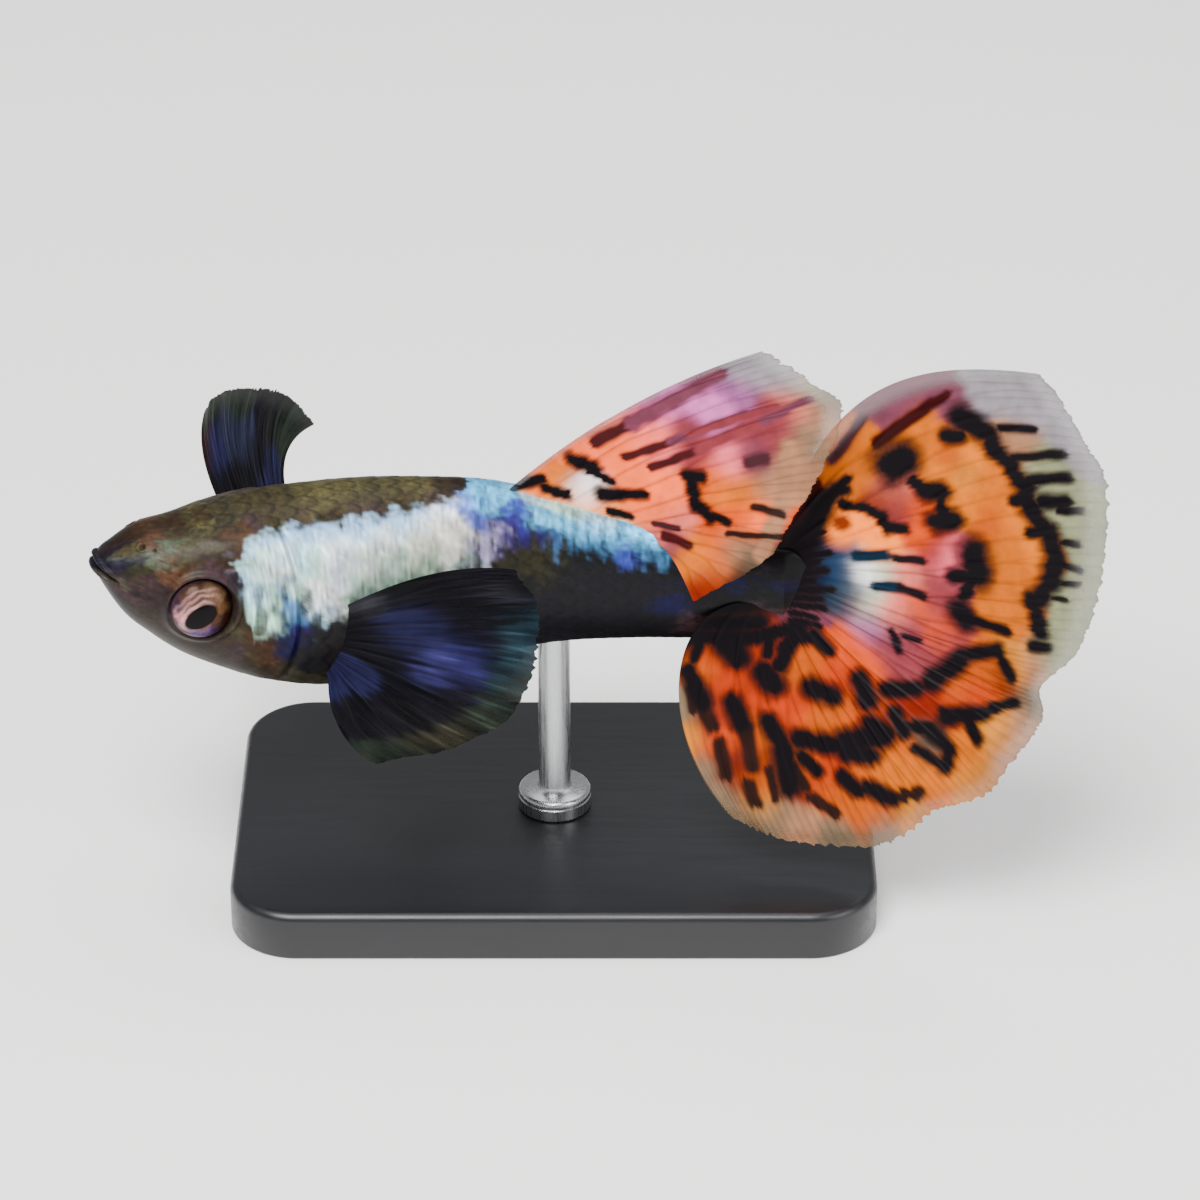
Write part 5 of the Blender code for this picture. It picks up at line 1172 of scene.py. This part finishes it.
# Pelvic fins: a small pair under the belly, each of six rays, clear with a grey-brown tint.
PELVIC_SHARE = 0.425
PELVIC_OUT = 0.95
PELVIC_KEYS = [
    ((1.5, 0.5, -1.0), (3.1, 0.9, -1.6)),
    ((1.2, 0.6, -1.2), (2.6, 1.1, -2.1)),
    ((0.8, 0.6, -1.3), (1.8, 1.1, -2.3)),
    ((0.3, 0.5, -1.2), (0.8, 0.9, -2.0)),
]
PLAIN_PIGMENTS = {
    "grey": "504C4A", "smoke": "2F2D2D", "cloud": "6E6862",
}
PLAIN_NOTES = [((0.0, 0.5), 0.6, "smoke"), ((0.9, 1.2), 0.6, "grey"), ((2.1, 1.0), 0.6, "grey"),
               ((1.5, 2.2), 0.6, "cloud"), ((0.3, 2.0), 0.6, "smoke"), ((2.7, 2.0), 0.6, "cloud")]
plain_web = fin_web("clear_tinted_resin_web", "2C2A2A", 0.50, 0.36)
places = np.linspace(0.0, 1.0, 90)
along = np.linspace(0.0, 1.0, 44)
across = places[:, None] + 0.0 * along[None, :]
down = 0.0 * places[:, None] + along[None, :]
ground = paint(np.stack([across * 3.0, down * 2.5], -1), PLAIN_NOTES, PLAIN_PIGMENTS)
for side, label in ((-1, "left"), (1, "right")):
    turn = np.array((1.0, side, 1.0))
    root = body_skin(PELVIC_SHARE, -math.pi / 2) + side_way(PELVIC_SHARE) * side * PELVIC_OUT
    root = root + np.array((0.0, 0.0, 0.25))
    starts = root + np.stack([-0.5 * (places - 0.4), 0.0 * places, 0.6 + 0.0 * places], -1)
    surface = ray_points(starts, root + curve_through([key[0] for key in PELVIC_KEYS], places) * turn,
                         root + curve_through([key[1] for key in PELVIC_KEYS], places) * turn, along)
    relief = ray_relief(surface, places, along, 6, 0.09)
    fin = cast_fin("pelvic_fin_" + label, surface, along, relief, 0.045, 0.13, 0.20,
                   dict(ground=ground, ink=0.0 * down, clear=fade(0.3, 1.0, down)), plain_web)

# Anal fin: in a male it is drawn out into a narrow rod of a few thick rays, folded back under
# the belly. It is cast with the belly and is the stiffest of the fins.
ANAL_SHARE = 0.478
ANAL_LENGTH = 4.1
ANAL_ROOT_HEIGHT = 1.3
ANAL_TIP_HEIGHT = 0.45
ANAL_DROP = 0.85
places = np.linspace(0.0, 1.0, 60)
along = np.linspace(0.0, 1.0, 80)
belly = body_skin(ANAL_SHARE + along * ANAL_LENGTH / BODY_LENGTH, -math.pi / 2)
height = ANAL_ROOT_HEIGHT + (ANAL_TIP_HEIGHT - ANAL_ROOT_HEIGHT) * fade(0.0, 0.45, along)
middle = belly[:, 2] - ANAL_DROP * fade(0.0, 0.3, along) + 0.15 * along + 0.3 * fade(0.3, 0.0, along)
surface = np.repeat(belly[None], len(places), axis=0)
surface[..., 2] = middle[None, :] + (0.5 - places[:, None]) * height[None, :]
number = places * 3
relief = np.exp(-((number - np.round(number)) / 0.26) ** 2)[:, None] * (0.85 + 0.15 * np.cos(along * 70.0))[None, :]
across = places[:, None] + 0.0 * along[None, :]
down = 0.0 * places[:, None] + along[None, :]
ground = paint(np.stack([across * 3.0, down * 2.5], -1), PLAIN_NOTES, PLAIN_PIGMENTS)
anal = cast_fin("anal_fin", surface, along, relief, 0.10, 0.24, 0.30,
                dict(ground=ground, ink=0.0 * down, clear=0.3 * down), plain_web)

# Stand base: a rounded plate of black acrylic sheet, milled, with its upper edge eased and the
# faces rubbed to a satin finish. It lies flat on the table.
BASE_LENGTH = 28.0
BASE_WIDTH = 18.0
BASE_HEIGHT = 2.2
BASE_CORNER = 3.0
BASE_EDGE = 0.4
corner = []
for quarter in range(4):
    cx = (BASE_LENGTH / 2 - BASE_CORNER) * (1, -1, -1, 1)[quarter]
    cy = (BASE_WIDTH / 2 - BASE_CORNER) * (1, 1, -1, -1)[quarter]
    for turn in np.radians(90.0 * quarter + np.linspace(0.0, 90.0, 25)):
        corner.append((cx, cy, math.cos(turn), math.sin(turn)))
profile = [(0.10, 0.0), (0.03, 0.03), (0.0, 0.10)]
for turn in np.radians(np.linspace(0.0, 90.0, 9)):
    profile.append((BASE_EDGE * (1 - math.cos(turn)), BASE_HEIGHT - BASE_EDGE * (1 - math.sin(turn))))
profile += [(BASE_EDGE + 0.6, BASE_HEIGHT), (BASE_CORNER - 0.2, BASE_HEIGHT)]
plate = np.array([[(cx + (BASE_CORNER - inset) * c, cy + (BASE_CORNER - inset) * s, z) for cx, cy, c, s in corner]
                  for inset, z in profile])
count = plate.shape[0] * plate.shape[1]
points = np.concatenate([plate.reshape(-1, 3), [(0.0, 0.0, 0.0), (0.0, 0.0, BASE_HEIGHT)]])
base = add_mesh("display_base", points, hoop_faces(plate.shape[0], plate.shape[1], count, count + 1))
face_outward(base)
base.data.set_sharp_from_angle(angle=math.radians(50.0))
satin_acrylic, tree, shader = new_material("satin_black_acrylic")
place = add_node(tree, "ShaderNodeTexCoord")
# Rubbing marks run along the plate, drawn 0.25 mm apart so that they show
stretch = add_node(tree, "ShaderNodeMapping", {"Scale": (0.06, 1.0, 1.0)}, {"Vector": place.outputs["Object"]})
rub = add_node(tree, "ShaderNodeTexNoise", {"Scale": 1 / (0.25 * MM), "Detail": 3.0}, {"Vector": stretch.outputs[0]})
haze = add_node(tree, "ShaderNodeTexNoise", {"Scale": 1 / (6.0 * MM), "Detail": 3.0}, {"Vector": place.outputs["Object"]})
satin = add_node(tree, "ShaderNodeMapRange", {"From Min": 0.3, "From Max": 0.7, "To Min": 0.30, "To Max": 0.42},
                 {"Value": rub.outputs["Fac"]})
shade = add_node(tree, "ShaderNodeMix", {"data_type": "RGBA", 6: (*linear("0B0C0F"), 1.0), 7: (*linear("131418"), 1.0)},
                 {0: haze.outputs["Fac"]})
bump = add_node(tree, "ShaderNodeBump", {"Strength": 0.10, "Distance": 0.01 * MM}, {"Height": rub.outputs["Fac"]})
for socket, source in (("Base Color", shade.outputs[2]), ("Roughness", satin.outputs["Result"]),
                       ("Normal", bump.outputs["Normal"])):
    tree.links.new(source, shader.inputs[socket])
shader.inputs["IOR"].default_value = 1.49
base.data.materials.append(satin_acrylic)
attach(base, "root")
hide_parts("stand_base")

# Stand rod: drawn stainless steel wire with a turned collar, pressed into the base and up into
# a hole in the belly.
ROD_RADIUS = 0.7
COLLAR_RADIUS = 1.6
COLLAR_HEIGHT = 0.7
ROD_GAP = 0.3
foot = BASE_HEIGHT
collar_top = BASE_HEIGHT + ROD_GAP + COLLAR_HEIGHT
rod_top = body_skin(ROD_SHARE, -math.pi / 2)[2] + 0.3
outline = [(COLLAR_RADIUS - 0.08, foot), (COLLAR_RADIUS, foot + 0.08), (COLLAR_RADIUS, collar_top - 0.42),
           (COLLAR_RADIUS - 0.05, collar_top - 0.38), (COLLAR_RADIUS - 0.05, collar_top - 0.33),
           (COLLAR_RADIUS, collar_top - 0.29), (COLLAR_RADIUS, collar_top - 0.16), (COLLAR_RADIUS - 0.05, collar_top - 0.07),
           (COLLAR_RADIUS - 0.16, collar_top), (ROD_RADIUS + 0.22, collar_top), (ROD_RADIUS + 0.06, collar_top + 0.06),
           (ROD_RADIUS, collar_top + 0.22), (ROD_RADIUS, rod_top - 0.4), (ROD_RADIUS, rod_top)]
spin = np.linspace(0.0, 2 * math.pi, 72, endpoint=False)
turned = np.array([[(r * math.cos(a), r * math.sin(a), z) for a in spin] for r, z in outline])
count = turned.shape[0] * turned.shape[1]
points = np.concatenate([turned.reshape(-1, 3), [(0.0, 0.0, foot), (0.0, 0.0, rod_top)]])
rod = add_mesh("display_rod", points, hoop_faces(turned.shape[0], turned.shape[1], count, count + 1))
face_outward(rod)
rod.data.set_sharp_from_angle(angle=math.radians(35.0))
drawn_steel, tree, shader = new_material("drawn_stainless_steel")
place = add_node(tree, "ShaderNodeTexCoord")
# Drawing marks run up the rod, 0.10 mm apart
stretch = add_node(tree, "ShaderNodeMapping", {"Scale": (1.0, 1.0, 0.05)}, {"Vector": place.outputs["Object"]})
marks = add_node(tree, "ShaderNodeTexNoise", {"Scale": 1 / (0.10 * MM), "Detail": 2.0}, {"Vector": stretch.outputs[0]})
brushed = add_node(tree, "ShaderNodeMapRange", {"From Min": 0.3, "From Max": 0.7, "To Min": 0.22, "To Max": 0.36},
                   {"Value": marks.outputs["Fac"]})
tone = add_node(tree, "ShaderNodeMix", {"data_type": "RGBA", 6: (*linear("A9ABAD"), 1.0), 7: (*linear("C6C8C9"), 1.0)},
                {0: marks.outputs["Fac"]})
tree.links.new(tone.outputs[2], shader.inputs["Base Color"])
tree.links.new(brushed.outputs["Result"], shader.inputs["Roughness"])
shader.inputs["Metallic"].default_value = 1.0
rod.data.materials.append(drawn_steel)
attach(rod, "root")
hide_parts("stand_rod")

# Setting: a plain pale table top, soft boxes on both sides and above, and the camera where the
# photographer stood, looking down on the fish's left side.
FLOOR_SIZE = 1600.0
bpy.ops.mesh.primitive_plane_add(size=FLOOR_SIZE * MM, location=(0.0, 0.0, 0.0))
floor = bpy.context.object
floor.name = "table_top"
pale_table, tree, shader = new_material("pale_matt_table")
place = add_node(tree, "ShaderNodeTexCoord")
drift = add_node(tree, "ShaderNodeTexNoise", {"Scale": 1 / (60.0 * MM), "Detail": 2.0}, {"Vector": place.outputs["Object"]})
shade = add_node(tree, "ShaderNodeMix", {"data_type": "RGBA", 6: (*linear("F3F2F0"), 1.0), 7: (*linear("F8F7F6"), 1.0)},
                 {0: drift.outputs["Fac"]})
tree.links.new(shade.outputs[2], shader.inputs["Base Color"])
shader.inputs["Roughness"].default_value = 0.70
floor.data.materials.append(pale_table)

# Place in millimetres, size, power in watts
SOFT_BOXES = [
    ("key_box", (-70.0, -170.0, 300.0), 170.0, 2.4), ("fill_box", (230.0, -160.0, 150.0), 200.0, 0.60),
    ("top_box", (20.0, 90.0, 300.0), 240.0, 0.50),
]
for name, where, size, power in SOFT_BOXES:
    light = bpy.data.lights.new(name, "AREA")
    light.energy = power
    light.size = size * MM
    box = bpy.data.objects.new(name, light)
    box.location = [c * MM for c in where]
    aim = np.array((0.0, 0.0, AXIS_HEIGHT)) - np.array(where)
    box.rotation_mode = "QUATERNION"
    box.rotation_quaternion = Vector(aim).to_track_quat("-Z", "Y")
    bpy.context.scene.collection.objects.link(box)
world = bpy.data.worlds.new("studio")
world.use_nodes = True
world.node_tree.nodes["Background"].inputs["Color"].default_value = (*linear("F4F5F7"), 1.0)
world.node_tree.nodes["Background"].inputs["Strength"].default_value = 0.50
bpy.context.scene.world = world

# The photo's frame is 1200 pixels wide, and one pixel is 0.043 mm on the fish
PIXEL = 0.043
FRAME_PIXELS = 1200
LENS = 150.0
SENSOR = 36.0
ELEVATION = math.radians(30.0)
distance = FRAME_PIXELS * PIXEL / 2 / (SENSOR / 2 / LENS)
target = np.array((2.0, -1.0, AXIS_HEIGHT - 1.0))
camera_data = bpy.data.cameras.new("photo_camera")
camera_data.lens = LENS
camera_data.sensor_width = SENSOR
camera_data.clip_start = 10.0 * MM
camera = bpy.data.objects.new("photo_camera", camera_data)
look = np.array((0.0, -math.cos(ELEVATION), math.sin(ELEVATION)))
camera.location = (target + distance * look) * MM
camera.rotation_mode = "QUATERNION"
camera.rotation_quaternion = Vector(-look).to_track_quat("-Z", "Y")
bpy.context.scene.collection.objects.link(camera)
bpy.context.scene.camera = camera

bpy.context.view_layer.update()
